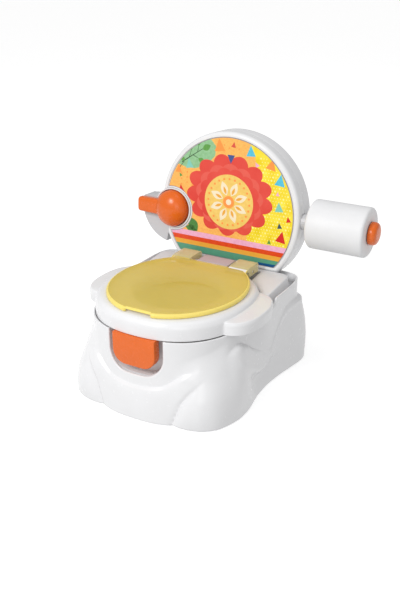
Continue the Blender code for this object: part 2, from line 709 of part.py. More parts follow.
# ------------------------------------------------------------------ lid
def build_lid():
    def edge(phi):
        r = ellipse_r(phi, LID_RX, LID_RY)
        c = math.cos(phi)
        if c < 0 and abs(r * math.sin(phi)) < 60 * MM:
            r = min(r, LID_REAR_CUT / -c)
        if c > 0 and abs(r * math.sin(phi)) < LID_NOTCH_HALF:
            r = min(r, LID_NOTCH_Y / c)
        return r

    angles = sample_angles(60, edge)
    top = LID_TOP

    def row(inset, z, scale=1.0):
        return [at(phi, (edge(phi) - inset) * scale, z) for phi in angles]

    rings = [
        [(0, 0, top + 1.2 * MM)],
        row(0, top + 0.9 * MM, 0.5),
        row(4 * MM, top),
        row(1.0 * MM, top - 0.8 * MM),
        row(0, top - 2.2 * MM),
        row(0, LID_SKIRT),
        row(LID_WALL, LID_SKIRT),
        row(LID_WALL, top - 3.0 * MM),
        row(0, top + 0.9 * MM - LID_WALL, 0.5),
        [(0, 0, top + 1.2 * MM - LID_WALL)],
    ]
    # the lid's frame is its hinge axis
    shift = Vector((0, HINGE_Y, HINGE_Z))
    rings = [[tuple(Vector(p) - shift) for p in ring] for ring in rings]
    bm = bmesh.new()
    rows = [[bm.verts.new(p) for p in ring] for ring in rings]
    for low, high in zip(rows, rows[1:]):
        count = max(len(low), len(high))
        for i in range(count):
            j = (i + 1) % count
            if len(low) == 1:
                bm.faces.new((low[0], high[j], high[i]))
            elif len(high) == 1:
                bm.faces.new((low[i], low[j], high[0]))
            else:
                bm.faces.new((low[i], low[j], high[j], high[i]))
    lid = from_bmesh("lid", bm, YELLOW, LID_AXIS, angle=30)

    outer = [(89, 171.7), (103.2, 168.4), (107.5, 158.8), (137.5, 158.8), (140, 161.3), (140, 172.6), (137.6, 175.2),
             (133, 176.4), (105, 176.4), (98, 175.2), (91, 172.6)]
    for side, s in (("left", -1), ("right", 1)):
        lo, hi = sorted((s * KNUCKLE_IN, s * KNUCKLE_OUT))
        block = plate("knuckle_" + side, [(y * MM - HINGE_Y, z * MM - HINGE_Z) for y, z in outer], "yz", lo, hi,
                      YELLOW, LID_AXIS, CUTTERS)
        boolean(lid, block, "UNION")
        room = plate("knuckle_room_" + side,
                     [(y * MM - HINGE_Y, z * MM - HINGE_Z) for y, z in ((108.5, 150), (108.5, 173.8), (137.4, 173.8), (137.4, 150))],
                     "yz", lo + LID_WALL, hi - LID_WALL, YELLOW, LID_AXIS, CUTTERS)
        boolean(lid, room)
    pin_way = cylinder("pin_way", PIN_R + GAP, (-80 * MM, 0, 0), (80 * MM, 0, 0), YELLOW, LID_AXIS, 16,
                       collection=CUTTERS)
    boolean(lid, pin_way)
    notch = box("finger_notch", (-22 * MM, -135 * MM - HINGE_Y, 160 * MM - HINGE_Z),
                (22 * MM, -111 * MM - HINGE_Y, 171.1 * MM - HINGE_Z), YELLOW, LID_AXIS, CUTTERS)
    boolean(lid, notch)
    return lid


build_lid()


# ------------------------------------------------------------------ bowl and its grip
def build_bowl():
    angles = [2 * math.pi * i / 40 for i in range(40)]

    def row(rx, ry, z):
        return [at(phi, ellipse_r(phi, rx * MM, ry * MM), z * MM) for phi in angles]

    low = PLATE_TOP / MM + 0.3
    top = low + 2.7
    rx, ry, wall, flange = BOWL_RX / MM, BOWL_RY / MM, BOWL_WALL / MM, BOWL_FLANGE / MM
    floor = top - BOWL_DEPTH / MM
    inside = [(0.45, 0.3), (0.67, 7.0), (0.835, 31.0), (0.94, 73.0)]        # share of the mouth, height above the floor
    rings = [[(0, 0, floor * MM)]]
    rings += [row(rx * share, ry * share, floor + height) for share, height in inside]
    rings += [row(rx, ry, top), row(rx + flange, ry + flange, top), row(rx + flange, ry + flange, low),
              row(rx + wall, ry + wall, low)]
    rings += [row(rx * share + wall * (0.4 + 0.6 * share), ry * share + wall * (0.4 + 0.6 * share), floor + height - wall * (1.05 - share))
              for share, height in inside[::-1]]
    rings += [[(0, 0, (floor - wall) * MM)]]
    bm = bmesh.new()
    rows = [[bm.verts.new(p) for p in ring] for ring in rings]
    for lo, hi in zip(rows, rows[1:]):
        count = max(len(lo), len(hi))
        for i in range(count):
            j = (i + 1) % count
            if len(lo) == 1:
                bm.faces.new((lo[0], hi[j], hi[i]))
            elif len(hi) == 1:
                bm.faces.new((lo[i], lo[j], hi[0]))
            else:
                bm.faces.new((lo[i], lo[j], hi[j], hi[i]))
    bowl = from_bmesh("potty_bowl", bm, SOFT_WHITE, ROOT, angle=32)
    neck = box("bowl_neck", (-24 * MM, -124.5 * MM, low * MM), (24 * MM, -93 * MM, (top - 0.05) * MM), SOFT_WHITE, ROOT, CUTTERS)
    boolean(bowl, neck, "UNION")
    for x in (-14, 14):
        peg = cylinder("neck_peg_%d" % x, 2.6 * MM, (x * MM, -121.4 * MM, 127.5 * MM), (x * MM, -121.4 * MM, 134.5 * MM),
                       SOFT_WHITE, ROOT, 12, collection=CUTTERS)
        boolean(bowl, peg, "UNION")

    # the grip: a D-shaped block with a slanted upper front edge, hollow behind
    def d_shape(half, bottom, top_z, corner, steps=7):
        pts = [(-half, top_z)]
        for i in range(steps + 1):
            a = math.pi + math.pi / 2 * i / steps
            pts.append((-half + corner + corner * math.cos(a), bottom + corner + corner * math.sin(a)))
        for i in range(steps + 1):
            a = 1.5 * math.pi + math.pi / 2 * i / steps
            pts.append((half - corner + corner * math.cos(a), bottom + corner + corner * math.sin(a)))
        pts.append((half, top_z))
        return pts

    grip = plate("bowl_grip", d_shape(GRIP_HALF, GRIP_BOTTOM, GRIP_TOP, 25 * MM), "xz", GRIP_FRONT, GRIP_BACK, ORANGE, ROOT)
    slant = [(-140, 121.4), (GRIP_FRONT / MM - 0.2, 126.2), (-127.4, 136.0), (-126.2, 137.0), (-126.2, 150), (-140, 150)]
    chamfer = plate("grip_chamfer", [(y * MM, z * MM) for y, z in slant], "yz", -50 * MM, 50 * MM, ORANGE, ROOT, CUTTERS)
    boolean(grip, chamfer)
    neck_room = box("neck_room", (-24.5 * MM, -124.9 * MM, 132.9 * MM), (24.5 * MM, -110 * MM, 142 * MM), ORANGE, ROOT, CUTTERS)
    boolean(grip, neck_room)
    hollow = plate("grip_hollow", d_shape(GRIP_HALF - 5 * MM, GRIP_BOTTOM + 5 * MM, 123 * MM, 20 * MM), "xz",
                   GRIP_FRONT + 6 * MM, GRIP_BACK + 5 * MM, ORANGE, ROOT, CUTTERS)
    boolean(grip, hollow)
    for x in (-14, 14):
        bore = cylinder("grip_bore_%d" % x, 2.9 * MM, (x * MM, -121.4 * MM, 127.1 * MM), (x * MM, -121.4 * MM, 137 * MM),
                        ORANGE, ROOT, 12, collection=CUTTERS)
        boolean(grip, bore)
    return bowl


build_bowl()


# ------------------------------------------------------------------ backrest
def housing_outline(radius, disc, start, end, top):
    """A disc with a quarter fan to its lower left, flat on top, about the lever's axis."""
    pts = []
    for i in range(15):
        a = math.radians(end + (360 + 128 - end) * i / 14)
        pts.append((disc * math.cos(a), disc * math.sin(a)))
    x_out = -math.sqrt(radius ** 2 - top ** 2)
    x_in = -math.sqrt(max(disc ** 2 - top ** 2, 0))
    pts.append((x_in, top))
    pts.append((x_out + 2.5 * MM, top))
    a0 = math.degrees(math.atan2(top - 3 * MM, x_out))
    for i in range(11):
        a = math.radians(a0 + (end - a0) * i / 10)
        pts.append((radius * math.cos(a), radius * math.sin(a)))
    return pts


def back_radius(theta, inset=0.0, rx=BACK_RX, ru=BACK_RU, cut=BACK_CUT):
    """Outline radius at theta from +x towards +u, with the flat bottom."""
    c, s = math.cos(theta), math.sin(theta)
    r = ((c / (rx - inset)) ** 2 + (s / (ru - inset)) ** 2) ** -0.5
    if s < 0:
        r = min(r, (cut - inset) / -s)
    return r


def back_angles(count):
    corner = math.asin(-BACK_CUT / BACK_RU)
    theta0 = math.atan2(-BACK_CUT, BACK_RX * math.sqrt(1 - (BACK_CUT / BACK_RU) ** 2))
    start = theta0
    end = math.pi - theta0
    arc = [start + (end - start) * i / (count - 9) for i in range(count - 8)]
    low = [end + (2 * math.pi + start - end) * i / 9 for i in range(1, 9)]
    return arc + low


def build_backrest():
    angles = back_angles(52)

    def row(inset, depth, ru_extra=0.0):
        return [(back_radius(t, inset * MM) * math.cos(t), depth * MM, back_radius(t, inset * MM) * math.sin(t)) for t in angles]

    wall = BACK_WALL / MM
    split = BACK_SPLIT / MM
    deep = BACK_DEPTH / MM

    def cup(name, rings, mat):
        """rings from the middle of the outer face, over the edge, and back to the middle of the inner face"""
        bm = bmesh.new()
        rows = [[bm.verts.new(p) for p in ring] for ring in rings]
        for lo, hi in zip(rows, rows[1:]):
            count = max(len(lo), len(hi))
            for i in range(count):
                j = (i + 1) % count
                if len(lo) == 1:
                    bm.faces.new((lo[0], hi[j], hi[i]))
                elif len(hi) == 1:
                    bm.faces.new((lo[i], lo[j], hi[0]))
                else:
                    bm.faces.new((lo[i], lo[j], hi[j], hi[i]))
        return from_bmesh(name, bm, mat, BACK, angle=30)

    front = cup("backrest_front_shell", [
        [(0, 1.6 * MM, 0)], row(8.6, 1.6), row(8.2, 0.2), row(5.0, 0.1), row(1.6, 1.8), row(0, 5.2),
        row(0, split), row(wall, split), row(wall + 0.4, 6.2), row(6.0, 1.6 + wall), [(0, (1.6 + wall) * MM, 0)]], WHITE)
    rear = cup("backrest_rear_shell", [
        [(0, deep * MM, 0)], row(10, deep), row(3.4, deep - 2.0), row(0.2, deep - 8), row(0, split + 0.3),
        row(wall, split + 0.3), row(wall + 0.4, deep - 8.4), row(11, deep - wall),
        [(0, (deep - wall) * MM, 0)]], WHITE)

    # tongues under the front shell that plug into the base
    for side, x in (("left", -60), ("right", 60)):
        tongue = box("tongue_" + side, ((x - 20) * MM, 2.2 * MM, -134 * MM), ((x + 20) * MM, 12.6 * MM, -87 * MM),
                     WHITE, BACK, CUTTERS)
        boolean(front, tongue, "UNION")

    # round seat of the flush housing
    for shell in (front, rear):
        bite = cylinder("housing_bite_" + shell.name, SOCKET_R + 0.4 * MM, (LEVER_X, -20 * MM, LEVER_U),
                        (LEVER_X, 70 * MM, LEVER_U), WHITE, BACK, 40, collection=CUTTERS)
        boolean(shell, bite)
        room = plate("housing_way_" + shell.name,
                     [(LEVER_X + x, LEVER_U + u) for x, u in housing_outline(HOUSING_R + 0.8 * MM, SOCKET_R - 3 * MM, 166, 259.2, 15.1 * MM)],
                     "xz", -20 * MM, 70 * MM, WHITE, BACK, CUTTERS)
        boolean(shell, room)

    # side hole for the spindle socket
    for shell in (front, rear):
        way = cylinder("socket_way_" + shell.name, 13.4 * MM, (105 * MM, 0, 0), (160 * MM, 0, 0), WHITE, ROOT, 24,
                       collection=CUTTERS)
        way.location = (132 * MM, ROLL_Y, ROLL_Z)
        boolean(shell, way)

    # the printed sheet, laid in the front shell's recess and cut round the housing
    sheet_pts = []
    for t in back_angles(60)[:52]:
        r = back_radius(t, 0, PANEL_RX, PANEL_RU, BACK_CUT - 8.9 * MM)
        sheet_pts.append((r * math.cos(t), r * math.sin(t)))
    sheet = plate("graphic_panel", sheet_pts, "xz", 0.3 * MM, 1.3 * MM, PRINT, BACK)
    bite = cylinder("sheet_bite", SOCKET_R + 3.2 * MM, (LEVER_X, -20 * MM, LEVER_U), (LEVER_X, 30 * MM, LEVER_U),
                    WHITE, BACK, 48, collection=CUTTERS)
    boolean(sheet, bite)

    # battery opening and speaker slots in the rear shell
    opening = box("battery_opening", (-36 * MM, 30 * MM, -67 * MM), (36 * MM, 70 * MM, -19 * MM), WHITE, BACK, CUTTERS)
    boolean(rear, opening)
    for i in range(5):
        slot = box("speaker_slot_%d" % i, (48 * MM, 30 * MM, (-32 - 6 * i) * MM), (76 * MM, 70 * MM, (-29.6 - 6 * i) * MM),
                   WHITE, BACK, CUTTERS)
        boolean(rear, slot)

    # screws that hold the two shells: posts on the front shell, screws from behind
    for name, x, u in BACK_SCREWS:
        post = cylinder("post_" + name, 4.6 * MM, (x * MM, 3.0 * MM, u * MM), (x * MM, 48.6 * MM, u * MM), WHITE, BACK, 12,
                        collection=CUTTERS)
        boolean(front, post, "UNION")
        bore = cylinder("post_bore_" + name, 1.8 * MM, (x * MM, 30 * MM, u * MM), (x * MM, 61 * MM, u * MM), WHITE, BACK, 10,
                        collection=CUTTERS)
        boolean(front, bore)
        hole = cylinder("screw_hole_" + name, 4.4 * MM, (x * MM, 47 * MM, u * MM), (x * MM, 66 * MM, u * MM), WHITE, BACK, 12,
                        collection=CUTTERS)
        boolean(rear, hole)
        turned("backrest_screw_" + name, [(0, 51.6 * MM), (2.6 * MM, 51.6 * MM), (4.0 * MM, 50.8 * MM), (4.0 * MM, 48.9 * MM),
                                          (1.5 * MM, 48.9 * MM), (1.5 * MM, 35 * MM), (0, 33.6 * MM)],
               STEEL, BACK, (x * MM, 0, u * MM), axis="y", steps=8)


BACK_SCREWS = [("upper_left", -62, 88), ("upper_right", 62, 88), ("lower_left", -66, -74), ("lower_right", 66, -74)]
build_backrest()


# ------------------------------------------------------------------ flush housing and lever
def build_flush():
    """Drawn about the lever's axis."""
    disc = SOCKET_R
    body = housing_outline(HOUSING_R, disc - 5.5 * MM, 167, 258, 14.5 * MM)
    outline = housing_outline(HOUSING_R, disc - 0.2 * MM, 167, 258, 14.5 * MM)
    housing = cylinder("flush_housing", disc, (0, -1.2 * MM, 0), (0, 35.4 * MM, 0), SOFT_WHITE, LEVER_AXIS, 40)
    wing = plate("housing_wing", body, "xz", 4.0 * MM, 36.0 * MM, SOFT_WHITE, LEVER_AXIS, CUTTERS)
    boolean(housing, wing, "UNION")
    recess = cylinder("ball_recess", disc - 2.9 * MM, (0, -10 * MM, 0), (0, 12 * MM, 0), WHITE, LEVER_AXIS, 36, collection=CUTTERS)
    boolean(housing, recess)
    # the arm passes out to the left through the collar: the way is a window swept by the arm
    sweep = []
    for i in range(7):
        a = math.radians(155 + (256.5 - 155) * i / 6)
        sweep.append((66 * MM * math.cos(a), 66 * MM * math.sin(a)))
    sweep.append((20 * MM * math.cos(math.radians(256.5)), 20 * MM * math.sin(math.radians(256.5))))
    sweep.append((20 * MM * math.cos(math.radians(155)), 20 * MM * math.sin(math.radians(155))))
    window = plate("arm_window", sweep, "xz", -6 * MM, 4.5 * MM, WHITE, LEVER_AXIS, CUTTERS)
    boolean(housing, window)
    room_outline = housing_outline(HOUSING_R - 3.0 * MM, disc - 9.0 * MM, 168.5, 255.5, 11.7 * MM)
    room = plate("housing_room", room_outline, "xz", 14.6 * MM, 50 * MM, WHITE, LEVER_AXIS, CUTTERS)
    boolean(housing, room)
    bore = cylinder("shaft_bore", 4.4 * MM, (0, 5 * MM, 0), (0, 20 * MM, 0), WHITE, LEVER_AXIS, 16, collection=CUTTERS)
    boolean(housing, bore)
    plate("flush_housing_back", outline, "xz", 36.3 * MM, 38.6 * MM, SOFT_WHITE, LEVER_AXIS)

    # lever: domed knob and arm in one
    knob_profile = []
    for i in range(7):
        a = math.pi / 2 * i / 6
        knob_profile.append((BALL_R * math.sin(a), 3.0 * MM + 20.5 * MM * math.cos(a)))
    knob_profile += [(BALL_R, -6 * MM), (BALL_R - 2.5 * MM, -10.5 * MM), (0, -10.5 * MM)]
    lever = turned("flush_lever", knob_profile, ORANGE, LEVER_AXIS, (0, 0, 0), "-y", 28)
    tip = ARM_TIP_X - LEVER_X
    arm_pts = [(-5 * MM, 13.0 * MM), (-5 * MM, -13.5 * MM), (-30 * MM, -13.0 * MM), (tip + 3.5 * MM, -9.5 * MM),
               (tip, -6.5 * MM), (tip, 7.5 * MM), (tip + 3.5 * MM, 10.5 * MM), (-30 * MM, 12.5 * MM)]
    arm = plate("lever_arm", arm_pts, "xz", -13.0 * MM, 3.0 * MM, ORANGE, LEVER_AXIS, CUTTERS, bevel=2.0 * MM)
    boolean(lever, arm, "UNION")
    pocket = cylinder("shaft_pocket", 3.8 * MM, (0, 2 * MM, 0), (0, 14 * MM, 0), ORANGE, LEVER_AXIS, 16, collection=CUTTERS)
    boolean(lever, pocket)

    cylinder("lever_shaft", 3.5 * MM, (0, 2.4 * MM, 0), (0, 33.0 * MM, 0), STEEL, LEVER_AXIS, 16)
    # cam on the shaft, held by a clip
    cam_pts = []
    for i in range(20):
        a = 2 * math.pi * i / 20
        r = 7.0 * MM + (5.0 * MM if i in (9, 10, 11) else 0)
        cam_pts.append((r * math.cos(a), r * math.sin(a)))
    cam_hole = [(3.8 * MM * math.cos(2 * math.pi * i / 12), 3.8 * MM * math.sin(2 * math.pi * i / 12)) for i in range(12)]
    plate("lever_cam", cam_pts, "xz", 26.0 * MM, 30.5 * MM, BLACK, LEVER_AXIS, holes=[cam_hole])
    ring_turned("shaft_clip", [(3.8 * MM, 31.0 * MM), (3.8 * MM, 32.2 * MM), (6.0 * MM, 32.2 * MM), (6.0 * MM, 31.0 * MM)],
                STEEL, LEVER_AXIS, (0, 0, 0), "y", 20)
    box("micro_switch", (-17 * MM, 24 * MM, -25.4 * MM), (-7.5 * MM, 31 * MM, -15.6 * MM), BLACK, LEVER_AXIS, bevel=0.5 * MM, segments=1)

    # return spring round the shaft
    coil = bpy.data.curves.new("lever_spring", "CURVE")
    coil.dimensions = "3D"
    coil.bevel_depth = 0.6 * MM
    coil.bevel_resolution = 0
    coil.use_fill_caps = True
    spline = coil.splines.new("POLY")
    turns, per = 4, 8
    count = turns * per + 1
    spline.points.add(count + 1)
    pts = [(12 * MM, 16.2 * MM, 0)]
    for i in range(count):
        a = 2 * math.pi * i / per
        pts.append((6 * MM * math.cos(a), (16.2 + 1.9 * i / per) * MM, 6 * MM * math.sin(a)))
    pts.append((6 * MM, 23.8 * MM + 0.4 * MM, 7 * MM))
    for point, co in zip(spline.points, pts):
        point.co = (*co, 1)
    guide = bpy.data.objects.new("spring_guide", coil)
    bpy.context.scene.collection.objects.link(guide)
    graph = bpy.context.evaluated_depsgraph_get()
    mesh = bpy.data.meshes.new_from_object(guide.evaluated_get(graph))
    bpy.data.objects.remove(guide, do_unlink=True)
    bm = bmesh.new()
    bm.from_mesh(mesh)
    bmesh.ops.remove_doubles(bm, verts=bm.verts, dist=1e-6)
    bpy.data.meshes.remove(mesh)
    from_bmesh("lever_spring", bm, STEEL, LEVER_AXIS)


build_flush()


# ------------------------------------------------------------------ electronics inside the backrest
box("circuit_board", (-60 * MM, 8.0 * MM, -72 * MM), (-10 * MM, 9.6 * MM, -38 * MM), BOARD, BACK)
turned("speaker", [(0, 0), (12 * MM, 0), (13 * MM, 4 * MM), (19 * MM, 7.6 * MM), (20 * MM, 8 * MM), (20 * MM, 10.5 * MM), (0, 10.5 * MM)][::-1],
       BLACK, BACK, (62 * MM, 39.5 * MM, -42 * MM), axis="y", steps=24)
tray = box("battery_box", (-34 * MM, 30.5 * MM, -64.5 * MM), (34 * MM, 50.6 * MM, -26.0 * MM), INNER_WHITE, BACK)
tray_room = box("battery_room", (-31.5 * MM, 32.8 * MM, -62 * MM), (31.5 * MM, 66 * MM, -28.5 * MM), INNER_WHITE, BACK, CUTTERS)
boolean(tray, tray_room)
for cell_name, cell_u in (("upper", -36.9), ("lower", -53.6)):
    turned("battery_" + cell_name, [(0, 51.2 * MM), (2.6 * MM, 51.2 * MM), (2.6 * MM, 49.8 * MM), (7.1 * MM, 49.5 * MM), (7.1 * MM, 0), (0, 0)],
           CELL, BACK, (-25.6 * MM, 41.2 * MM, cell_u * MM), axis="x", steps=20)
door = box("battery_door", (-35.4 * MM, -2.9 * MM, 0.1 * MM), (35.4 * MM, -0.2 * MM, 46.9 * MM), SOFT_WHITE, DOOR_AXIS, bevel=0.4 * MM, segments=1)
door_hole = cylinder("door_screw_way", 1.9 * MM, (0, -10 * MM, 43.0 * MM), (0, 10 * MM, 43.0 * MM), WHITE, DOOR_AXIS, 12, collection=CUTTERS)
boolean(door, door_hole)
turned("battery_door_screw", [(0, 3.6 * MM), (2.6 * MM, 3.5 * MM), (3.0 * MM, 2.1 * MM), (1.5 * MM, 2.1 * MM), (1.5 * MM, -1.0 * MM), (0, -1.5 * MM)],
       STEEL, DOOR_AXIS, (0, -2.3 * MM, 43.0 * MM), axis="y", steps=8)

# ------------------------------------------------------------------ roll holder
LONG = ROLL_X1 - ROLL_X0
ring_turned("spindle_socket", [(9.4 * MM, -46 * MM), (9.4 * MM, -3.0 * MM), (12.0 * MM, -2.0 * MM), (13.0 * MM, -4.0 * MM), (13.0 * MM, -46 * MM)],
            WHITE, ROOT, (ROLL_X0, ROLL_Y, ROLL_Z), "x", 20)
turned("roll_spindle", [(0, LONG + 6 * MM), (5.0 * MM, LONG + 6 * MM), (5.0 * MM, LONG + 0.6 * MM), (SPINDLE_R, LONG + 0.5 * MM), (SPINDLE_R, -42 * MM),
                        (SPINDLE_R - 2 * MM, -44 * MM), (0, -44 * MM)], SOFT_WHITE, ROLL_AXIS, (0, 0, 0), "x", 20)
knob_x0 = LONG + 0.9 * MM
knob_x1 = KNOB_X1 - ROLL_X0
turned("spindle_knob", [(0, knob_x1), (9 * MM, knob_x1 - 0.4 * MM), (14.4 * MM, knob_x1 - 1.9 * MM), (17.6 * MM, knob_x1 - 4.6 * MM), (KNOB_R, knob_x1 - 8 * MM),
                        (KNOB_R, knob_x0 + 1 * MM), (KNOB_R - 1.2 * MM, knob_x0), (5.3 * MM, knob_x0), (5.3 * MM, LONG + 6.4 * MM), (0, LONG + 6.4 * MM)],
       ORANGE, ROLL_AXIS, (0, 0, 0), "x", 24)
ring_turned("roll_core", [(SPINDLE_R + 1.0 * MM, 0.4 * MM), (SPINDLE_R + 1.0 * MM, LONG - 0.4 * MM), (17.6 * MM, LONG - 0.4 * MM), (17.6 * MM, 0.4 * MM)],
            INNER_WHITE, ROLL_AXIS, (0, 0, 0), "x", 24)
e = 5.0 * MM
roll_profile = [(18.0 * MM, 0), (18.0 * MM, LONG)]
for i in range(4):
    a = math.pi / 2 * i / 3
    roll_profile.append((ROLL_R - e + e * math.sin(a), LONG - e + e * math.cos(a)))
for i in range(4):
    a = math.pi / 2 * i / 3
    roll_profile.append((ROLL_R - e + e * math.cos(a), e - e * math.sin(a)))
ring_turned("paper_roll", roll_profile, ROLL, ROLL_AXIS, (0, 0, 0), "x", 32)
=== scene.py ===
import math

import bmesh
import bpy
from mathutils import Matrix, Vector


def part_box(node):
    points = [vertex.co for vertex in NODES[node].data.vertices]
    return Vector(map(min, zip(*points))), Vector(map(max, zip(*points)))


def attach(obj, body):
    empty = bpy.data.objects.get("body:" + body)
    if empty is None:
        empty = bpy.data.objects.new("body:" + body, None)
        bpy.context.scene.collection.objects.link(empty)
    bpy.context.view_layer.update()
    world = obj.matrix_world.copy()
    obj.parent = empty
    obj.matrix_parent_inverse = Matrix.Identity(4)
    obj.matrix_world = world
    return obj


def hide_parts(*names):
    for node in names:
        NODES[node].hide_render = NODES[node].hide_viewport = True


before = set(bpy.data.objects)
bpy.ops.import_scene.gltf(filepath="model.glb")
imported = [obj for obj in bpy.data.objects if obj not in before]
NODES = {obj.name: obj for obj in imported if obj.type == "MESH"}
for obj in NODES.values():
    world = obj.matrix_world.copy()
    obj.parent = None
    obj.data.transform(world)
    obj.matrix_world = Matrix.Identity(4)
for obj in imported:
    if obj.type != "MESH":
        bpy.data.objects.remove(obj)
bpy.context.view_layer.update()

MM = 0.001

# ------------------------------------------------------------------ frames
ring_low, ring_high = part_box("seat_ring")
OX = (ring_low.x + ring_high.x) / 2
OY = ring_low.y + 129.0 * MM
SEAT = Matrix.Translation((OX, OY, 0))
BACK = SEAT @ Matrix.Translation((0, 0.1612, 0.2453)) @ Matrix.Rotation(-math.radians(3.7), 4, "X")
LEVER = BACK @ Matrix.Translation((-0.1084, 0, -0.0099))
ROLL = SEAT @ Matrix.Translation((0.148, 0.180, 0.2447)) @ Matrix.Rotation(math.pi / 2, 4, "Y")
ROLL_LONG = 96.8

# ------------------------------------------------------------------ materials
def _links(mat):
    mat.use_nodes = True
    tree = mat.node_tree
    return tree, tree.nodes, tree.links, tree.nodes["Principled BSDF"]


def lin(*rgb):
    out = []
    for c in rgb:
        c = c / 255
        out.append(c / 12.92 if c <= 0.04045 else ((c + 0.055) / 1.055) ** 2.4)
    return tuple(out)


def moulded(name, colour, rough=0.3, vary=0.035, bump=0.05, grain=1800.0, metallic=0.0, alpha=1.0, coat=0.0,
            second=None, ior=1.46, spread=45.0, transmission=0.0, sub=0.0):
    """Moulded plastic: slow colour drift, patchy gloss and a fine grain in relief."""
    mat = bpy.data.materials.new(name)
    tree, nodes, links, shader = _links(mat)
    coords = nodes.new("ShaderNodeTexCoord")
    slow = nodes.new("ShaderNodeTexNoise")
    slow.inputs["Scale"].default_value = spread
    slow.inputs["Detail"].default_value = 3.0
    links.new(coords.outputs["Object"], slow.inputs["Vector"])
    ramp = nodes.new("ShaderNodeValToRGB")
    low = tuple(max(0.0, c * (1 - vary)) for c in colour)
    high = tuple(min(1.0, c * (1 + vary)) for c in (second or colour))
    ramp.color_ramp.elements[0].position = 0.3
    ramp.color_ramp.elements[1].position = 0.7
    ramp.color_ramp.elements[0].color = (*low, 1)
    ramp.color_ramp.elements[1].color = (*high, 1)
    links.new(slow.outputs["Fac"], ramp.inputs["Fac"])
    links.new(ramp.outputs["Color"], shader.inputs["Base Color"])
    patch = nodes.new("ShaderNodeTexNoise")
    patch.inputs["Scale"].default_value = 160.0
    patch.inputs["Detail"].default_value = 4.0
    links.new(coords.outputs["Object"], patch.inputs["Vector"])
    spread_node = nodes.new("ShaderNodeMapRange")
    spread_node.inputs["To Min"].default_value = max(0.03, rough - 0.05)
    spread_node.inputs["To Max"].default_value = rough + 0.06
    links.new(patch.outputs["Fac"], spread_node.inputs["Value"])
    links.new(spread_node.outputs["Result"], shader.inputs["Roughness"])
    fine = nodes.new("ShaderNodeTexNoise")
    fine.inputs["Scale"].default_value = grain
    fine.inputs["Detail"].default_value = 2.0
    links.new(coords.outputs["Object"], fine.inputs["Vector"])
    relief = nodes.new("ShaderNodeBump")
    relief.inputs["Strength"].default_value = bump
    relief.inputs["Distance"].default_value = 0.0002
    links.new(fine.outputs["Fac"], relief.inputs["Height"])
    links.new(relief.outputs["Normal"], shader.inputs["Normal"])
    shader.inputs["Metallic"].default_value = metallic
    shader.inputs["Alpha"].default_value = alpha
    shader.inputs["IOR"].default_value = ior
    shader.inputs["Coat Weight"].default_value = coat
    shader.inputs["Coat Roughness"].default_value = 0.12
    shader.inputs["Transmission Weight"].default_value = transmission
    shader.inputs["Subsurface Weight"].default_value = sub
    shader.inputs["Subsurface Scale"].default_value = 0.004
    mat.diffuse_color = (*colour, alpha)
    return mat


def brushed(name, colour, rough=0.28):
    mat = bpy.data.materials.new(name)
    tree, nodes, links, shader = _links(mat)
    coords = nodes.new("ShaderNodeTexCoord")
    wave = nodes.new("ShaderNodeTexWave")
    wave.inputs["Scale"].default_value = 900.0
    wave.inputs["Distortion"].default_value = 3.0
    links.new(coords.outputs["Object"], wave.inputs["Vector"])
    ramp = nodes.new("ShaderNodeValToRGB")
    ramp.color_ramp.elements[0].color = (*(c * 0.85 for c in colour), 1)
    ramp.color_ramp.elements[1].color = (*colour, 1)
    links.new(wave.outputs["Fac"], ramp.inputs["Fac"])
    links.new(ramp.outputs["Color"], shader.inputs["Base Color"])
    gloss = nodes.new("ShaderNodeMapRange")
    gloss.inputs["To Min"].default_value = rough - 0.06
    gloss.inputs["To Max"].default_value = rough + 0.1
    links.new(wave.outputs["Fac"], gloss.inputs["Value"])
    links.new(gloss.outputs["Result"], shader.inputs["Roughness"])
    relief = nodes.new("ShaderNodeBump")
    relief.inputs["Strength"].default_value = 0.1
    relief.inputs["Distance"].default_value = 0.0001
    links.new(wave.outputs["Fac"], relief.inputs["Height"])
    links.new(relief.outputs["Normal"], shader.inputs["Normal"])
    shader.inputs["Metallic"].default_value = 1.0
    return mat


def printed(name, colour, second=None, speck=0.0, scale=220.0):
    """Ink on a satin sheet: slightly uneven ink, with a soft mottled edge where two tones are given."""
    return moulded(name, colour, rough=0.34, vary=0.02 + speck, bump=0.02, grain=2600.0, second=second, spread=scale, ior=1.4)


WHITE = moulded("white_gloss_plastic", (0.79, 0.79, 0.80), 0.25, 0.010, 0.012, grain=700.0)
SOFT = moulded("white_satin_plastic", (0.72, 0.72, 0.735), 0.36, 0.014, 0.02, grain=700.0)
# grey plastic of the flush housing's fan; on the spindle socket the same grey is painted shade
GREY = moulded("light_grey_plastic_and_painted_shade", (0.56, 0.56, 0.575), 0.38, 0.02, 0.03, grain=700.0)
INNER = moulded("inner_white_plastic", (0.72, 0.72, 0.70), 0.45, 0.03, 0.06)
ORANGE = moulded("orange_gloss_plastic", (0.745, 0.132, 0.008), 0.26, 0.02, 0.006, grain=700.0)
# painted shade: the hinge boss is the seat ring's white plastic, drawn darker mauve-grey to stand for the shade between
# the lid's knuckles
BOSS_PAINTED_SHADE = moulded("hinge_boss_painted_shade", (0.50, 0.455, 0.485), 0.34, 0.02, 0.01, grain=700.0)
YELLOW = moulded("clear_yellow_plastic", (0.90, 0.71, 0.135), 0.34, 0.012, 0.008, grain=500.0, alpha=0.5, ior=1.3)
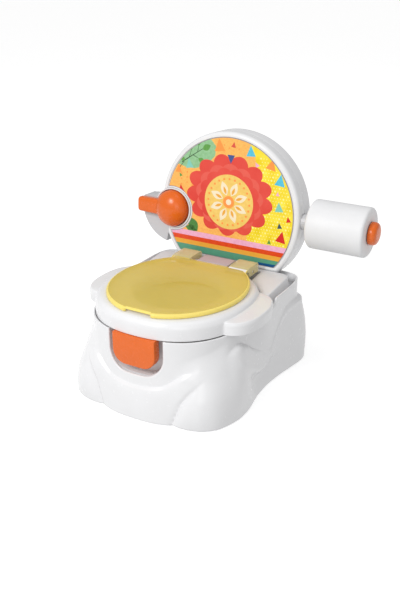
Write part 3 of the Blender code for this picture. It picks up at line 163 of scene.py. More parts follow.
# painted highlight: a lighter, more opaque copy of the clear yellow, standing for the bright glow along the lid's rim
YELLOW_EDGE_PAINTED_HIGHLIGHT = moulded("clear_yellow_edge_painted_highlight", (0.98, 0.80, 0.20), 0.28, 0.015, 0.008, grain=500.0, alpha=0.86, ior=1.4)
YELLOW_HINGE = moulded("clear_yellow_knuckles", (0.84, 0.76, 0.40), 0.25, 0.02, 0.01, grain=500.0, alpha=0.5, ior=1.4)
ROLL_MAT = moulded("roll_paper", (0.79, 0.79, 0.80), 0.5, 0.02, 0.25, grain=900.0)
RUBBER = moulded("grey_rubber", (0.10, 0.10, 0.10), 0.75, 0.15, 0.3, grain=1200.0)
STEEL = brushed("brushed_steel", (0.62, 0.62, 0.64))
BOARD = moulded("green_board", (0.03, 0.22, 0.08), 0.45, 0.3, 0.2, grain=500.0)
BLACK = moulded("black_plastic", (0.03, 0.03, 0.03), 0.45, 0.2, 0.1)
CELL = moulded("battery_sleeve", (0.05, 0.12, 0.3), 0.3, 0.08, 0.03)

CARRIED = {
    # painted shade: the spindle socket gets the grey so the stub stands for the roll's shadow on the backrest's side
    # wall
    "spindle_socket": GREY, "roll_spindle": SOFT, "roll_core": INNER, "flush_housing_back": SOFT,
    "lever_shaft": STEEL, "lever_cam": BLACK, "shaft_clip": STEEL, "micro_switch": BLACK, "lever_spring": STEEL,
    "circuit_board": BOARD, "speaker": BLACK, "battery_box": INNER, "battery_upper": CELL, "battery_lower": CELL,
    "battery_door": SOFT, "battery_door_screw": STEEL, "deck_screw_left": STEEL, "deck_screw_right": STEEL,
    "hinge_pin_left": STEEL, "hinge_pin_right": STEEL,
    "foot_front_left": RUBBER, "foot_front_right": RUBBER, "foot_rear_left": RUBBER, "foot_rear_right": RUBBER,
    "backrest_screw_upper_left": STEEL, "backrest_screw_upper_right": STEEL,
    "backrest_screw_lower_left": STEEL, "backrest_screw_lower_right": STEEL,
}
for node, mat in CARRIED.items():
    slots = NODES[node].material_slots
    if not slots:
        NODES[node].data.materials.append(mat)
    for slot in slots:
        slot.material = mat


# ------------------------------------------------------------------ mesh tools
def rounded(points, steps=5):
    """A closed outline of (a, b, radius) with its corners eased; the number of points out doesn't depend on the shape."""
    out = []
    count = len(points)
    for i in range(count):
        here = Vector(points[i][:2])
        radius = points[i][2]
        if radius <= 0:
            out.append(tuple(here))
            continue
        before = Vector(points[i - 1][:2]) - here
        after = Vector(points[(i + 1) % count][:2]) - here
        l0, l2 = max(before.length, 1e-9), max(after.length, 1e-9)
        before, after = before / l0, after / l2
        turn = math.acos(max(-0.99999, min(0.99999, before.dot(after))))
        reach = min(radius / math.tan(turn / 2), 0.49 * l0, 0.49 * l2)
        p0, p2 = here + before * reach, here + after * reach
        for k in range(steps + 1):
            s = k / steps
            out.append(tuple(p0 * (1 - s) ** 2 + here * (2 * s * (1 - s)) + p2 * s * s))
    return out


def piece(name, bm, matrix, mats, body=None, nodes=(), angle=35.0):
    """A mesh piece in place. Without a body it is a tool for cutting or joining."""
    bmesh.ops.recalc_face_normals(bm, faces=bm.faces)
    mesh = bpy.data.meshes.new(name)
    bm.to_mesh(mesh)
    bm.free()
    mesh.transform(matrix)
    obj = bpy.data.objects.new(name, mesh)
    bpy.context.scene.collection.objects.link(obj)
    for mat in mats if isinstance(mats, (list, tuple)) else [mats]:
        mesh.materials.append(mat)
    if body:
        settle(obj, body, nodes, angle)
    return obj


def settle(obj, body, nodes=(), angle=35.0):
    obj.data.shade_smooth()
    obj.data.set_sharp_from_angle(angle=math.radians(angle))
    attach(obj, body)
    if nodes:
        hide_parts(*nodes)
    return obj


def combine(obj, tool, operation="DIFFERENCE", keep=False):
    before = len(obj.data.polygons)
    for solver in ("MANIFOLD", "EXACT"):
        step = obj.modifiers.new("step", "BOOLEAN")
        step.operation = operation
        step.object = tool
        step.solver = solver
        graph = bpy.context.evaluated_depsgraph_get()
        mesh = bpy.data.meshes.new_from_object(obj.evaluated_get(graph))
        obj.modifiers.remove(step)
        if len(mesh.polygons) and len(mesh.polygons) != before:
            old = obj.data
            name = old.name
            obj.data = mesh
            bpy.data.meshes.remove(old)
            mesh.name = name
            break
        bpy.data.meshes.remove(mesh)
        print("combine: %s did nothing on %s with %s" % (solver, obj.name, tool.name))
    if not keep:
        bpy.data.objects.remove(tool, do_unlink=True)
    return obj


def skin(rows, around=False):
    """Quads through rows of equal length; a row of one point closes the skin."""
    bm = bmesh.new()
    made = [[bm.verts.new(p) for p in row] for row in rows]
    pairs = list(zip(made, made[1:]))
    if around:
        pairs.append((made[-1], made[0]))
    for lo, hi in pairs:
        count = max(len(lo), len(hi))
        for i in range(count):
            j = (i + 1) % count
            if len(lo) == 1:
                bm.faces.new((lo[0], hi[j], hi[i]))
            elif len(hi) == 1:
                bm.faces.new((lo[i], lo[j], hi[0]))
            else:
                bm.faces.new((lo[i], lo[j], hi[j], hi[i]))
    if not around:
        ends = [bm.faces.new(row) for row in (made[0], made[-1]) if len(row) > 1]
        if ends:
            bm.normal_update()
            bmesh.ops.triangulate(bm, faces=ends)
    return bm


def mm(rows):
    return [[tuple(c * MM for c in p) for p in row] for row in rows]


def slab(outline, plane, low, high, edge=0.0, steps=4, edge2=None):
    """A flat outline (mm) given a thickness, its two rims eased by edge and edge2."""
    edge2 = edge if edge2 is None else edge2
    count = len(outline)
    area = sum(outline[i][0] * outline[(i + 1) % count][1] - outline[(i + 1) % count][0] * outline[i][1] for i in range(count))
    sign = 1 if area > 0 else -1
    normals = []
    for i in range(count):
        a, b = Vector(outline[i - 1]), Vector(outline[(i + 1) % count])
        here = Vector(outline[i])
        e0, e1 = (here - a), (b - here)
        e0 = e0.normalized() if e0.length > 1e-9 else e1.normalized()
        e1 = e1.normalized() if e1.length > 1e-9 else e0
        n = Vector((e0.y + e1.y, -(e0.x + e1.x)))
        n = n.normalized() if n.length > 1e-9 else Vector((e0.y, -e0.x))
        k = max(0.5, n.dot(Vector((e0.y, -e0.x))))
        normals.append(n * sign / k)

    def row(inset, h):
        pts = []
        for p, n in zip(outline, normals):
            a, b = p[0] - n.x * inset, p[1] - n.y * inset
            pts.append({"xy": (a, b, h), "xz": (a, h, b), "yz": (h, a, b)}[plane])
        return pts

    rows = []
    if edge > 0:
        for k in range(steps + 1):
            t = math.pi / 2 * k / steps
            rows.append(row(edge * (1 - math.sin(t)), low + edge * (1 - math.cos(t))))
    else:
        rows.append(row(0, low))
    if edge2 > 0:
        for k in range(steps + 1):
            t = math.pi / 2 * k / steps
            rows.append(row(edge2 * (1 - math.cos(t)), high - edge2 * (1 - math.sin(t))))
    else:
        rows.append(row(0, high))
    return skin(mm(rows))


def revolve(profile, steps=96, closed=False):
    """Profile of (radius, height) in mm about the local Z axis; its ends lie on the axis unless closed."""
    rows = []
    for r, h in profile:
        if r < 1e-6:
            rows.append([(0, 0, h)])
        else:
            rows.append([(r * math.cos(2 * math.pi * i / steps), r * math.sin(2 * math.pi * i / steps), h) for i in range(steps)])
    return skin(mm(rows), around=closed)


def block(low, high):
    bm = bmesh.new()
    bmesh.ops.create_cube(bm, size=1.0)
    size = [b - a for a, b in zip(low, high)]
    bmesh.ops.scale(bm, vec=[s * MM for s in size], verts=bm.verts)
    bmesh.ops.translate(bm, vec=[(a + b) / 2 * MM for a, b in zip(low, high)], verts=bm.verts)
    return bm


def rod(radius, start, end, sides=48):
    start, end = Vector(start) * MM, Vector(end) * MM
    span = end - start
    bm = bmesh.new()
    bmesh.ops.create_cone(bm, cap_ends=True, segments=sides, radius1=radius * MM, radius2=radius * MM, depth=span.length)
    turn = span.normalized().to_track_quat("Z", "Y").to_matrix().to_4x4()
    bmesh.ops.transform(bm, matrix=Matrix.Translation((start + end) / 2) @ turn, verts=bm.verts)
    return bm


def tool(name, bm, matrix):
    return piece(name, bm, matrix, WHITE)


# ------------------------------------------------------------------ outlines (mm)
FLOOR_OUTLINE = [(0, -141), (31, -139.5), (64, -131.5), (93, -127), (114, -119), (131, -101),
                 (143, -66), (144, -30), (139.5, 17), (137.5, 59), (138.5, 95), (143.5, 126),
                 (148, 158), (146, 178), (132, 194), (100, 199), (50, 201), (0, 201)]
SHOULDER_LINE = [(0, 56), (19.5, 62), (26.5, 72), (34, 85), (52, 97), (64, 108), (74, 114), (84, 103),
                 (91, 91), (100.5, 78), (107, 69.5), (110.5, 69), (114, 75), (117, 87), (121.5, 102),
                 (126, 114), (132, 121), (141, 119), (155, 118), (180, 118)]


def smoothstep(edge0, edge1, x):
    t = min(1.0, max(0.0, (x - edge0) / (edge1 - edge0)))
    return t * t * (3 - 2 * t)


def polar(phi, a, b, n):
    return (abs(math.sin(phi) / a) ** n + abs(math.cos(phi) / b) ** n) ** (-1 / n)


def between(table, x):
    """Straight interpolation in a sorted table."""
    if x <= table[0][0]:
        return table[0][1]
    for (x0, y0), (x1, y1) in zip(table, table[1:]):
        if x <= x1:
            return y0 + (y1 - y0) * (x - x0) / (x1 - x0)
    return table[-1][1]


def floor_table():
    right = list(FLOOR_OUTLINE)
    left = [(-x, y) for x, y in right[-2:0:-1]]
    points = right + left
    count = len(points)
    table = []
    for i in range(count):
        p0, p1, p2, p3 = (Vector(points[(i + k) % count]) for k in (-1, 0, 1, 2))
        for s in range(12):
            t = s / 12
            p = 0.5 * ((2 * p1) + (p2 - p0) * t + (2 * p0 - 5 * p1 + 4 * p2 - p3) * t * t + (3 * p1 - p0 - 3 * p2 + p3) * t ** 3)
            table.append((math.atan2(p.x, -p.y) % (2 * math.pi), p.length))
    table.sort()
    return [(table[-1][0] - 2 * math.pi, table[-1][1])] + table + [(table[0][0] + 2 * math.pi, table[0][1])]


FLOOR_TABLE = floor_table()


def away(phi):
    return abs((math.degrees(phi) + 180) % 360 - 180)


def shoulder(phi):
    deg = away(phi)
    knots = SHOULDER_LINE
    for k in range(len(knots) - 1):
        if knots[k][0] <= deg <= knots[k + 1][0]:
            break
    d0, d1 = knots[k], knots[k + 1]
    before, after = knots[max(0, k - 1)], knots[min(len(knots) - 1, k + 2)]
    span = d1[0] - d0[0]
    m0 = (d1[1] - before[1]) / max(1e-6, d1[0] - before[0]) if k else 0.0
    m1 = (after[1] - d0[1]) / max(1e-6, after[0] - d0[0]) if k + 2 < len(knots) else 0.0
    t = (deg - d0[0]) / span
    return ((2 * t ** 3 - 3 * t * t + 1) * d0[1] + (t ** 3 - 2 * t * t + t) * span * m0
            + (3 * t * t - 2 * t ** 3) * d1[1] + (t ** 3 - t * t) * span * m1)


def base_top(phi):
    c = math.cos(phi)
    a = 127.0 + 9.5 * smoothstep(0.17, -0.34, c)
    if c >= 0:
        return polar(phi, a, 131.5, 2.4)
    return polar(phi, a, 184.0, 2.4 + 8.6 * smoothstep(0.0, -0.35, c))


def base_top_z(phi):
    return 136.4 + 13.6 * smoothstep(66, 75, -math.cos(phi) * base_top(phi))


def sample_angles(count, radius):
    fine = [radius(2 * math.pi * i / 2880) for i in range(2880)]
    pts = [Vector((r * math.sin(2 * math.pi * i / 2880), -r * math.cos(2 * math.pi * i / 2880))) for i, r in enumerate(fine)]
    length = [0.0]
    for i in range(2880):
        length.append(length[-1] + (pts[(i + 1) % 2880] - pts[i]).length)
    out = []
    k = 0
    for j in range(count):
        want = length[-1] * j / count
        while length[k + 1] < want:
            k += 1
        t = (want - length[k]) / max(1e-9, length[k + 1] - length[k])
        out.append(2 * math.pi * (k + t) / 2880)
    return out


def at(phi, r, z):
    return (r * math.sin(phi), -r * math.cos(phi), z)


def ellipse_r(phi, a, b):
    return polar(phi, a, b, 2.0)


def ring_radius(phi):
    c = math.cos(phi)
    r = polar(phi, 124.0, 129.0 if c >= 0 else 118.0, 2.33)
    if c < 0:
        r = min(r, 100.0 / -c)
    return r


def wing_radius(phi):
    r = ring_radius(phi)
    s, c = math.sin(phi), math.cos(phi)

    def inside(rr):
        x, y = abs(rr * s), -rr * c
        return abs((x - 108) / 44) ** 2.4 + abs((y - 2) / 64) ** 2.4 <= 1
    best = 0.0
    for k in range(131):
        rr = 190 - k
        if inside(rr):
            a, b = rr, rr + 1
            for _ in range(14):
                m = (a + b) / 2
                a, b = (m, b) if inside(m) else (a, m)
            best = a
            break
    return max(r, best)


def back_radius(theta, inset=0.0, rx=131.0, ru=134.5, cut=91.5):
    c, s = math.cos(theta), math.sin(theta)
    r = ((c / (rx - inset)) ** 2 + (s / (ru - inset)) ** 2) ** -0.5
    if s < 0:
        r = min(r, (cut - inset) / -s)
    return r


def back_angles(count, flat):
    theta0 = math.atan2(-91.5, 131.0 * math.sqrt(1 - (91.5 / 134.5) ** 2))
    start, end = theta0, math.pi - theta0
    arc = [start + (end - start) * i / (count - 1) for i in range(count)]
    low = [end + (2 * math.pi + start - end) * i / (flat + 1) for i in range(1, flat + 1)]
    return arc + low


# ------------------------------------------------------------------ base shell
FOOT = 1.5
VALLEY = [(0, 26.3), (16, 28.2), (40, 31.6), (59, 36.8), (72, 42.0), (90, 50.0)]       # height, degrees from the front
LEG_EDGE = [(-80, 104), (-65, 95), (-7, 59), (15, 47), (33, 44), (60, 50), (100, 62)]  # y, height


def build_base():
    angles = sample_angles(360, lambda phi: (base_top(phi) + between(FLOOR_TABLE, phi % (2 * math.pi))) / 2)
    info = []
    for phi in angles:
        deg = away(phi)
        soft = smoothstep(26, 44, deg) * (1 - smoothstep(60, 76, deg)) + 0.15 * smoothstep(66, 82, deg) * (1 - smoothstep(92, 106, deg))
        info.append((phi, deg, base_top(phi), between(FLOOR_TABLE, phi % (2 * math.pi)), shoulder(phi), base_top_z(phi), soft))

    def outer(k, z):
        phi, deg, top, low, sh, rim, soft = info[k]
        # crisp profile: a small fillet, then the flank turns out and drops to the floor
        x = (sh - z) / 1.1
        drop = 1.1 * (math.log1p(math.exp(x)) if x < 30 else x)
        w = min(1.0, drop / (sh - FOOT))
        share = 0.5 * smoothstep(0, 4, low - top) * (1 - 0.25 * smoothstep(104, 116, deg))
        crisp = share * (1 - math.exp(-drop / 2.6)) + (1 - share) * (1 - (1 - w) ** 1.9)
        lift = min(22.0, rim - sh - 3.0)
        ws = min(1.0, max(0.0, (sh + lift - z) / (sh + lift - FOOT)))
        ws = ws * ws / (ws + 0.22) * 1.22
        smooth = 1 - (1 - ws) ** 2.1
        flare = crisp + (smooth - crisp) * soft
        haunch = smoothstep(112, 130, deg) * (1 - 0.5 * smoothstep(150, 170, deg))
        r = top + (low - top) * flare + 3.4 * haunch * math.sin(math.pi * w) ** 1.3
        y = -r * math.cos(phi)
        # fine moulded line just above the ledge
        r -= 1.0 * share * math.exp(-((z - sh - 0.6) / 1.7) ** 2) * (1 - soft)
        # paw: a creased valley at its inner edge and a full rounded back
        d = (deg - between(VALLEY, z)) * 2.56
        fade = smoothstep(84, 44, z)
        if d < 0:
            r -= 4.2 * fade * math.exp(d / 5.5) * smoothstep(-30, 0, d)
        else:
            r += fade * (-4.2 * math.exp(-d / 4.2) + 5.6 * (1 - math.exp(-d / 10.0)) * math.exp(-(d / 56) ** 2)
                         * math.sin(math.pi * min(1.0, max(0.0, (z + 5) / 80))) ** 0.8)
        # hollow behind the front leg
        edge = between(LEG_EDGE, y)
        if y > -60:
            r -= 8.5 * smoothstep(-2, 13, edge - z) * smoothstep(-42, 22, y) * (1 - smoothstep(44, 104, y)) * (0.35 + 0.65 * smoothstep(0, 26, z))
        # rounded crest along the leg and along the haunch's edge
        if deg > 70:
            crest = math.exp(-((sh - 5.5 - z) / 4.2) ** 2)
            r += 2.0 * crest * smoothstep(100, 116, deg) * (1 - smoothstep(140, 160, deg))
            r += 1.8 * math.exp(-((edge + 2.0 - z) / 8.0) ** 2) * smoothstep(-60, -30, y) * (1 - smoothstep(20, 50, y))
        return r

    count = len(angles)
    rows = []

    def add(function):
        rows.append([at(info[k][0], *function(k)) for k in range(count)])

    below = [(1 - i / 60) ** 1.25 for i in range(61)]
    below[-1] = 0.0
    # lower edge turned in
    add(lambda k: (outer(k, FOOT) - 1.5, FOOT))
    add(lambda k: (outer(k, FOOT + 0.4) - 0.45, FOOT + 0.4))
    for w in below[1:]:
        add(lambda k: (outer(k, FOOT + (info[k][4] - FOOT) * (1 - w)), FOOT + (info[k][4] - FOOT) * (1 - w)))
    for i in range(1, 37):
        t = (i / 36) ** 1.5
        add(lambda k: (outer(k, info[k][4] + (info[k][5] - 0.7 - info[k][4]) * t), info[k][4] + (info[k][5] - 0.7 - info[k][4]) * t))
    for inset, drop in ((0.05, 0.45), (0.2, 0.2), (0.42, 0.05), (0.7, 0.0), (2.3, 0.0), (2.75, 0.25)):
        add(lambda k: (outer(k, info[k][5] - drop) - inset, info[k][5] - drop))
    add(lambda k: (outer(k, info[k][5] - 1.0) - 3.0, info[k][5] - 1.0))
    add(lambda k: (info[k][2] - 3.0, 134.2))
    add(lambda k: (info[k][2] - 4.2, 133.0))
    for inset, z in ((-1.2, 133.0), (-0.35, 132.7), (0, 131.8), (0, 124.0), (2.5, 124.0), (2.5, 130.0)):
        add(lambda k: (ellipse_r(info[k][0], 90, 94) + inset if inset >= 0 or z < 133 else ellipse_r(info[k][0], 90, 94) - inset, z))
    add(lambda k: (info[k][2] - 3.0, 130.0))
    for i in range(1, 20):
        z = 130.0 - (130.0 - FOOT) * i / 19
        add(lambda k: (outer(k, z) - 3.0, z))
    base = piece("base_shell_visual", skin(mm(rows), around=True), SEAT, WHITE)

    # front recess
    def u_shape(half, bottom, top, corner, steps=16):
        pts = [(-half, top)]
        for i in range(9):
            pts.append((-half, top + (bottom + corner - top) * (i + 0.5) / 9))
        for i in range(steps + 1):
            a = math.pi + math.pi / 2 * i / steps
            pts.append((-half + corner + corner * math.cos(a), bottom + corner + corner * math.sin(a)))
        for i in range(1, 8):
            pts.append((-(half - corner) + 2 * (half - corner) * i / 8, bottom))
        for i in range(steps + 1):
            a = 1.5 * math.pi + math.pi / 2 * i / steps
            pts.append((half - corner + corner * math.cos(a), bottom + corner + corner * math.sin(a)))
        for i in range(9):
            pts.append((half, bottom + corner + (top - bottom - corner) * (i + 0.5) / 9))
        pts.append((half, top))
        return pts

    pocket = tool("recess_pocket", slab(u_shape(50, 70.5, 132.2, 37), "xz", -124.4, -105.0), SEAT)
    combine(base, pocket, "UNION")
    for name, x, y in (("fl", -103, -101), ("fr", 103, -101), ("rl", -126, 170), ("rr", 126, 170)):
        combine(base, tool("lug_" + name, rod(19.6, (x, y, FOOT + 0.6), (x, y, 6.0), 40), SEAT), "UNION")
        combine(base, tool("foot_hole_" + name, rod(4.3, (x, y, -3), (x, y, 12), 24), SEAT))

    def wall_y(x):
        return -131.5 * (1 - (abs(x) / 127) ** 2.4) ** (1 / 2.4)

    shape = u_shape(47, 73.5, 160, 34)
    count_u = len(shape)
    normals = []
    for i in range(count_u):
        a, b = Vector(shape[max(0, i - 1)]), Vector(shape[min(count_u - 1, i + 1)])
        t = (b - a).normalized()
        normals.append(Vector((t.y, -t.x)))
    normals[0], normals[-1] = Vector((-1, 0)), Vector((1, 0))
    lip = 2.6
    rows_u = []
    for d in (-7.0, -3.0, 0.0, 0.18, 0.6, 1.2, 1.9, lip, 6.0):
        if d <= 0:
            grow = lip * (1 if d == 0 else 1.4)
            grow = lip if d == 0 else lip - d * 0.8
        elif d < lip:
            grow = lip - math.sqrt(lip * lip - (lip - d) ** 2)
        else:
            grow = 0.0
        row = []
        for p, n in zip(shape, normals):
            x, z = p[0] + n.x * grow, p[1] + n.y * grow
            row.append((x, wall_y(x) + d, z))
        rows_u.append(row)
    rows_u.append([(p[0] - n.x * 0.0, -109.5, p[1] - n.y * 0.0) for p, n in zip(shape, normals)])
    rows_u.append([(p[0] - n.x * 1.5, -108.0, p[1] - n.y * 1.5) for p, n in zip(shape, normals)])
    opening = tool("recess_opening", skin(mm(rows_u)), SEAT)
    combine(base, opening)
    combine(base, tool("neck_way", block((-30, -130, 124), (30, -101.5, 160)), SEAT))
    for x in (-60, 60):
        combine(base, tool("tongue_slot", block((x - 20.6, 154.6, 125), (x + 20.6, 168.8, 140)), SEAT))
    for x in (-96, 96):
        combine(base, tool("deck_screw_hole", rod(2.3, (x, 140, 124), (x, 140, 140), 20), SEAT))
    settle(base, "root", ["base_shell"], 38)
    return base


build_base()


# ------------------------------------------------------------------ rear deck
def build_deck():
    def outline(half, rear, inset, corner, steps=72, arc=10):
        pts = []
        start = math.radians(121.5)
        for i in range(steps + 1):
            phi = start + (2 * math.pi - 2 * start) * i / steps
            r = wing_radius(phi) + 2.6 + inset
            pts.append((r * math.sin(phi), -r * math.cos(phi)))
        first, last = pts[0], pts[-1]
        out = list(pts)
        out.append((-half, last[1] + 4))
        for i in range(arc + 1):
            a = math.pi - math.pi / 2 * i / arc
            out.append((-half + corner + corner * math.cos(a), rear - corner + corner * math.sin(a)))
        for i in range(arc + 1):
            a = math.pi / 2 - math.pi / 2 * i / arc
            out.append((half - corner + corner * math.cos(a), rear - corner + corner * math.sin(a)))
        out.append((half, first[1] + 4))
        return out

    def top_z(y):
        return 158.0 - (155.0 - y) * 0.073

    low = 133.3
    rows = [[(x, y, top_z(y) - 2.8) for x, y in outline(119.4, 152.2, 2.6, 10.4)],
            [(x, y, low) for x, y in outline(125.2, 152.2, 2.6, 11.4)],
            [(x, y, low) for x, y in outline(129.0, 154.8, 0.0, 14)]]
    for half, rear, inset, corner, drop in ((123.6, 154.8, 0.0, 13.4, 3.6), (123.2, 154.7, 0.1, 13.2, 2.4), (122.7, 154.3, 0.5, 12.8, 1.35),
                                            (121.9, 153.6, 1.1, 12.2, 0.6), (120.9, 152.6, 2.0, 11.4, 0.15), (119.6, 151.4, 3.2, 10.6, 0.0)):
        rows.append([(x, y, top_z(y) - drop) for x, y in outline(half, rear, inset, corner)])
    deck = piece("rear_deck_visual", skin(mm(rows)), SEAT, SOFT)
    for s in (-1, 1):
        lo, hi = sorted((s * 35.5, s * 74.5))
        combine(deck, tool("heel_well", block((lo, 99.0, 120), (hi, 144.5, 175)), SEAT))
    for x in (-96, 96):
        combine(deck, tool("post", rod(5, (x, 140, 133.3), (x, 140, 154.9), 32), SEAT), "UNION")
        combine(deck, tool("bore", rod(1.8, (x, 140, 126), (x, 140, 150), 20), SEAT))
    settle(deck, "root", ["rear_deck"], 34)


build_deck()


# ------------------------------------------------------------------ seat ring
def build_ring():
    angles = sample_angles(360, wing_radius)
    sections = []
    for phi in angles:
        r, w, s = ring_radius(phi), wing_radius(phi), ellipse_r(phi, 69, 72)
        wing = max(0.0, w - r)
        sections.append(rounded([
            (w - 0.1, 137.0, 0.7), (w, 152.6, 5.0), (r + max(0.0, wing - 1.6) - 0.2, 156.0 + min(1.0, wing / 8), 3.0), (r - 0.9, 158.2, 1.6 if wing > 1 else 9.0),
            (r - 3.4, 162.8, 9), (r - 8.0, 165.7, 12), (r - 14.0, 166.5, 12), (s + 9, 166.0, 12), (s + 3, 163.0, 9), (s, 156.0, 9), (s, 146.0, 1.0),
            (s + 2.6, 146.0, 0.8), (s + 3.4, 157.5, 3), (s + 9.5, 163.0, 3), (r - 12.5, 162.9, 3), (r - 6.0, 160.0, 3),
            (w - 3.4, 153.6, 2), (w - 3.0, 137.0, 0.6)], 5))
    rows = [[at(phi, *section[i]) for phi, section in zip(angles, sections)] for i in range(len(sections[0]))]
    ring = piece("seat_ring_visual", skin(mm(rows), around=True), SEAT, [WHITE, BOSS_PAINTED_SHADE])
    side = rounded([(86, 159.5, 0), (143, 159.5, 1.2), (143, 166.5, 3), (140.5, 169.6, 3), (136, 171, 3), (109, 171, 3), (105.6, 169.4, 2),
                    (104.6, 166.9, 1.5), (104.6, 165.6, 0.6), (86, 165.6, 0)], 4)
    boss = tool("hinge_boss", slab(side, "yz", -29, 29, 1.6), SEAT)
    combine(ring, boss, "UNION")
    combine(ring, tool("hinge_bore", rod(2.8, (-40, 118, 165.5), (40, 118, 165.5), 32), SEAT))
    # the boss's faces between the knuckles take the darker painted-shade material
    for face in ring.data.polygons:
        if face.center.y - OY > 105.5 * MM and face.center.z > 159.0 * MM and abs(face.center.x - OX) < 30 * MM:
            face.material_index = 1
    settle(ring, "seat", ["seat_ring"], 34)


build_ring()


# ------------------------------------------------------------------ lid
def build_lid():
    def edge(phi):
        r = ellipse_r(phi, 110, 122)
        c = math.cos(phi)
        if c < 0 and abs(r * math.sin(phi)) < 60:
            r = min(r, 102 / -c)
        if c > 0 and abs(r * math.sin(phi)) < 24:
            r = min(r, 117 / c)
        return r

    angles = sample_angles(300, edge)
    top = 173.8
    profile = [(1.0, 0.25, top + 1.12), (1.0, 0.5, top + 0.95), (1.0, 0.75, top + 0.55)]
    rows = [[(0, 0, top + 1.2)]]
    for _, scale, z in profile:
        rows.append([at(phi, edge(phi) * scale, z) for phi in angles])
    for inset, z in ((9.0, top + 0.25), (8.0, top + 0.35), (5.5, top + 0.25), (3.4, top), (2.0, top - 0.35), (0.95, top - 1.0), (0.3, top - 1.9),
                     (0.0, top - 3.0), (0.0, 168.0), (0.3, 167.4), (0.9, 167.2), (1.7, 167.2), (2.2, 167.5), (2.4, 168.1), (2.4, top - 3.6),
                     (3.2, top - 2.5), (5.0, top - 2.1)):
        rows.append([at(phi, edge(phi) - inset, z) for phi in angles])
    for scale, z in ((0.75, top - 1.85), (0.5, top - 1.45), (0.25, top - 1.28)):
        rows.append([at(phi, edge(phi) * scale, z) for phi in angles])
    rows.append([(0, 0, top - 1.2)])
    lid = piece("lid_visual", skin(mm(rows)), SEAT, [YELLOW, YELLOW_HINGE, YELLOW_EDGE_PAINTED_HIGHLIGHT])

    outer = rounded([(89, 171.7, 0.3), (103.2, 168.4, 1.0), (107.5, 158.8, 1.2), (137.5, 158.8, 1.2), (140, 161.3, 1.6), (140, 172.6, 1.8), (137.6, 175.2, 2),
                     (133, 176.4, 3), (105, 176.4, 3), (98, 175.2, 3), (91, 172.6, 1)], 4)
    for s in (-1, 1):
        lo, hi = sorted((s * 37.0, s * 71.5))
        combine(lid, tool("knuckle", slab(outer, "yz", lo, hi, 1.3), SEAT), "UNION")
        combine(lid, tool("room", block((lo + 2.4, 108.5, 150), (hi - 2.4, 137.4, 173.8)), SEAT))
    combine(lid, tool("pin_way", rod(2.8, (-80, 118, 165.5), (80, 118, 165.5), 32), SEAT))
    combine(lid, tool("finger_notch", block((-22, -135, 160), (22, -111, 171.1)), SEAT))
    # faces behind y = 101.5 mm take the knuckle yellow; faces within 3 mm of the lid's edge take the painted rim
    # highlight
    for face in lid.data.polygons:
        x, y = (face.center.x - OX) / MM, (face.center.y - OY) / MM
        if y > 101.5:
            face.material_index = 1
        elif math.hypot(x, y) > edge(math.atan2(x, -y)) - 3.0:
            face.material_index = 2
    settle(lid, "lid", ["lid"], 30)


build_lid()


# ------------------------------------------------------------------ bowl and grip
def build_bowl():
    angles = [2 * math.pi * i / 160 for i in range(160)]

    def row(rx, ry, z):
        return [at(phi, ellipse_r(phi, rx, ry), z) for phi in angles]

    low, top, floor, wall = 133.3, 136.0, 31.0, 2.6
    inside = [(0.2, 0.05), (0.45, 0.5), (0.58, 2.6), (0.67, 7.0), (0.745, 14.0), (0.80, 22.0), (0.835, 31.0), (0.88, 46.0), (0.915, 60.0), (0.94, 73.0),
              (0.975, 92.0), (0.99, 101.5)]
    rows = [[(0, 0, floor)]]
    rows += [row(84 * s, 88 * s, floor + h) for s, h in inside]
    rows += [row(85.0, 89.0, top - 0.5), row(86.2, 90.2, top), row(93.6, 97.6, top), row(94.7, 98.7, top - 0.35), row(95, 99, top - 1.1),
             row(95, 99, low + 0.6), row(94.4, 98.4, low), row(86.6, 90.6, low)]
    rows += [row(84 * s + wall * (0.4 + 0.6 * s), 88 * s + wall * (0.4 + 0.6 * s), floor + h - wall * (1.05 - s)) for s, h in inside[::-1]]
    rows += [[(0, 0, floor - wall)]]
    bowl = piece("potty_bowl_visual", skin(mm(rows)), SEAT, SOFT)
    combine(bowl, tool("neck", block((-24, -124.3, low), (24, -93, top - 0.05)), SEAT), "UNION")
    for x in (-14, 14):
        combine(bowl, tool("peg", rod(2.6, (x, -121.4, 127.5), (x, -121.4, 134.5), 24), SEAT), "UNION")
    settle(bowl, "bowl", ["potty_bowl"], 34)

    def d_shape(half, bottom, top_z, corner, steps=18):
        pts = [(-half, top_z)]
        for i in range(steps + 1):
            a = math.pi + math.pi / 2 * i / steps
            pts.append((-half + corner + corner * math.cos(a), bottom + corner + corner * math.sin(a)))
        for i in range(steps + 1):
            a = 1.5 * math.pi + math.pi / 2 * i / steps
            pts.append((half - corner + corner * math.cos(a), bottom + corner + corner * math.sin(a)))
        pts.append((half, top_z))
        return pts

    grip = piece("bowl_grip_visual", slab(d_shape(37, 87, 136.4, 22), "xz", -132.5, -118.5, 1.5, 5, 0.6), SEAT, ORANGE)
    wedge = [(-140, 120.4), (-132.9, 125.0), (-132.42, 125.8), (-131.9, 126.9), (-127.9, 135.1), (-127.2, 136.0), (-126.2, 136.7), (-126.2, 150), (-140, 150)]
    combine(grip, tool("grip_chamfer", slab(wedge, "yz", -50, 50), SEAT))
    combine(grip, tool("neck_room", block((-24.5, -124.7, 132.9), (24.5, -110, 140)), SEAT))
    combine(grip, tool("grip_hollow", slab(d_shape(32, 92, 123, 20), "xz", -126.5, -110), SEAT))
    for x in (-14, 14):
        combine(grip, tool("bore", rod(2.9, (x, -121.4, 127.1), (x, -121.4, 137), 24), SEAT))
    settle(grip, "bowl", ["bowl_grip"], 34)


build_bowl()


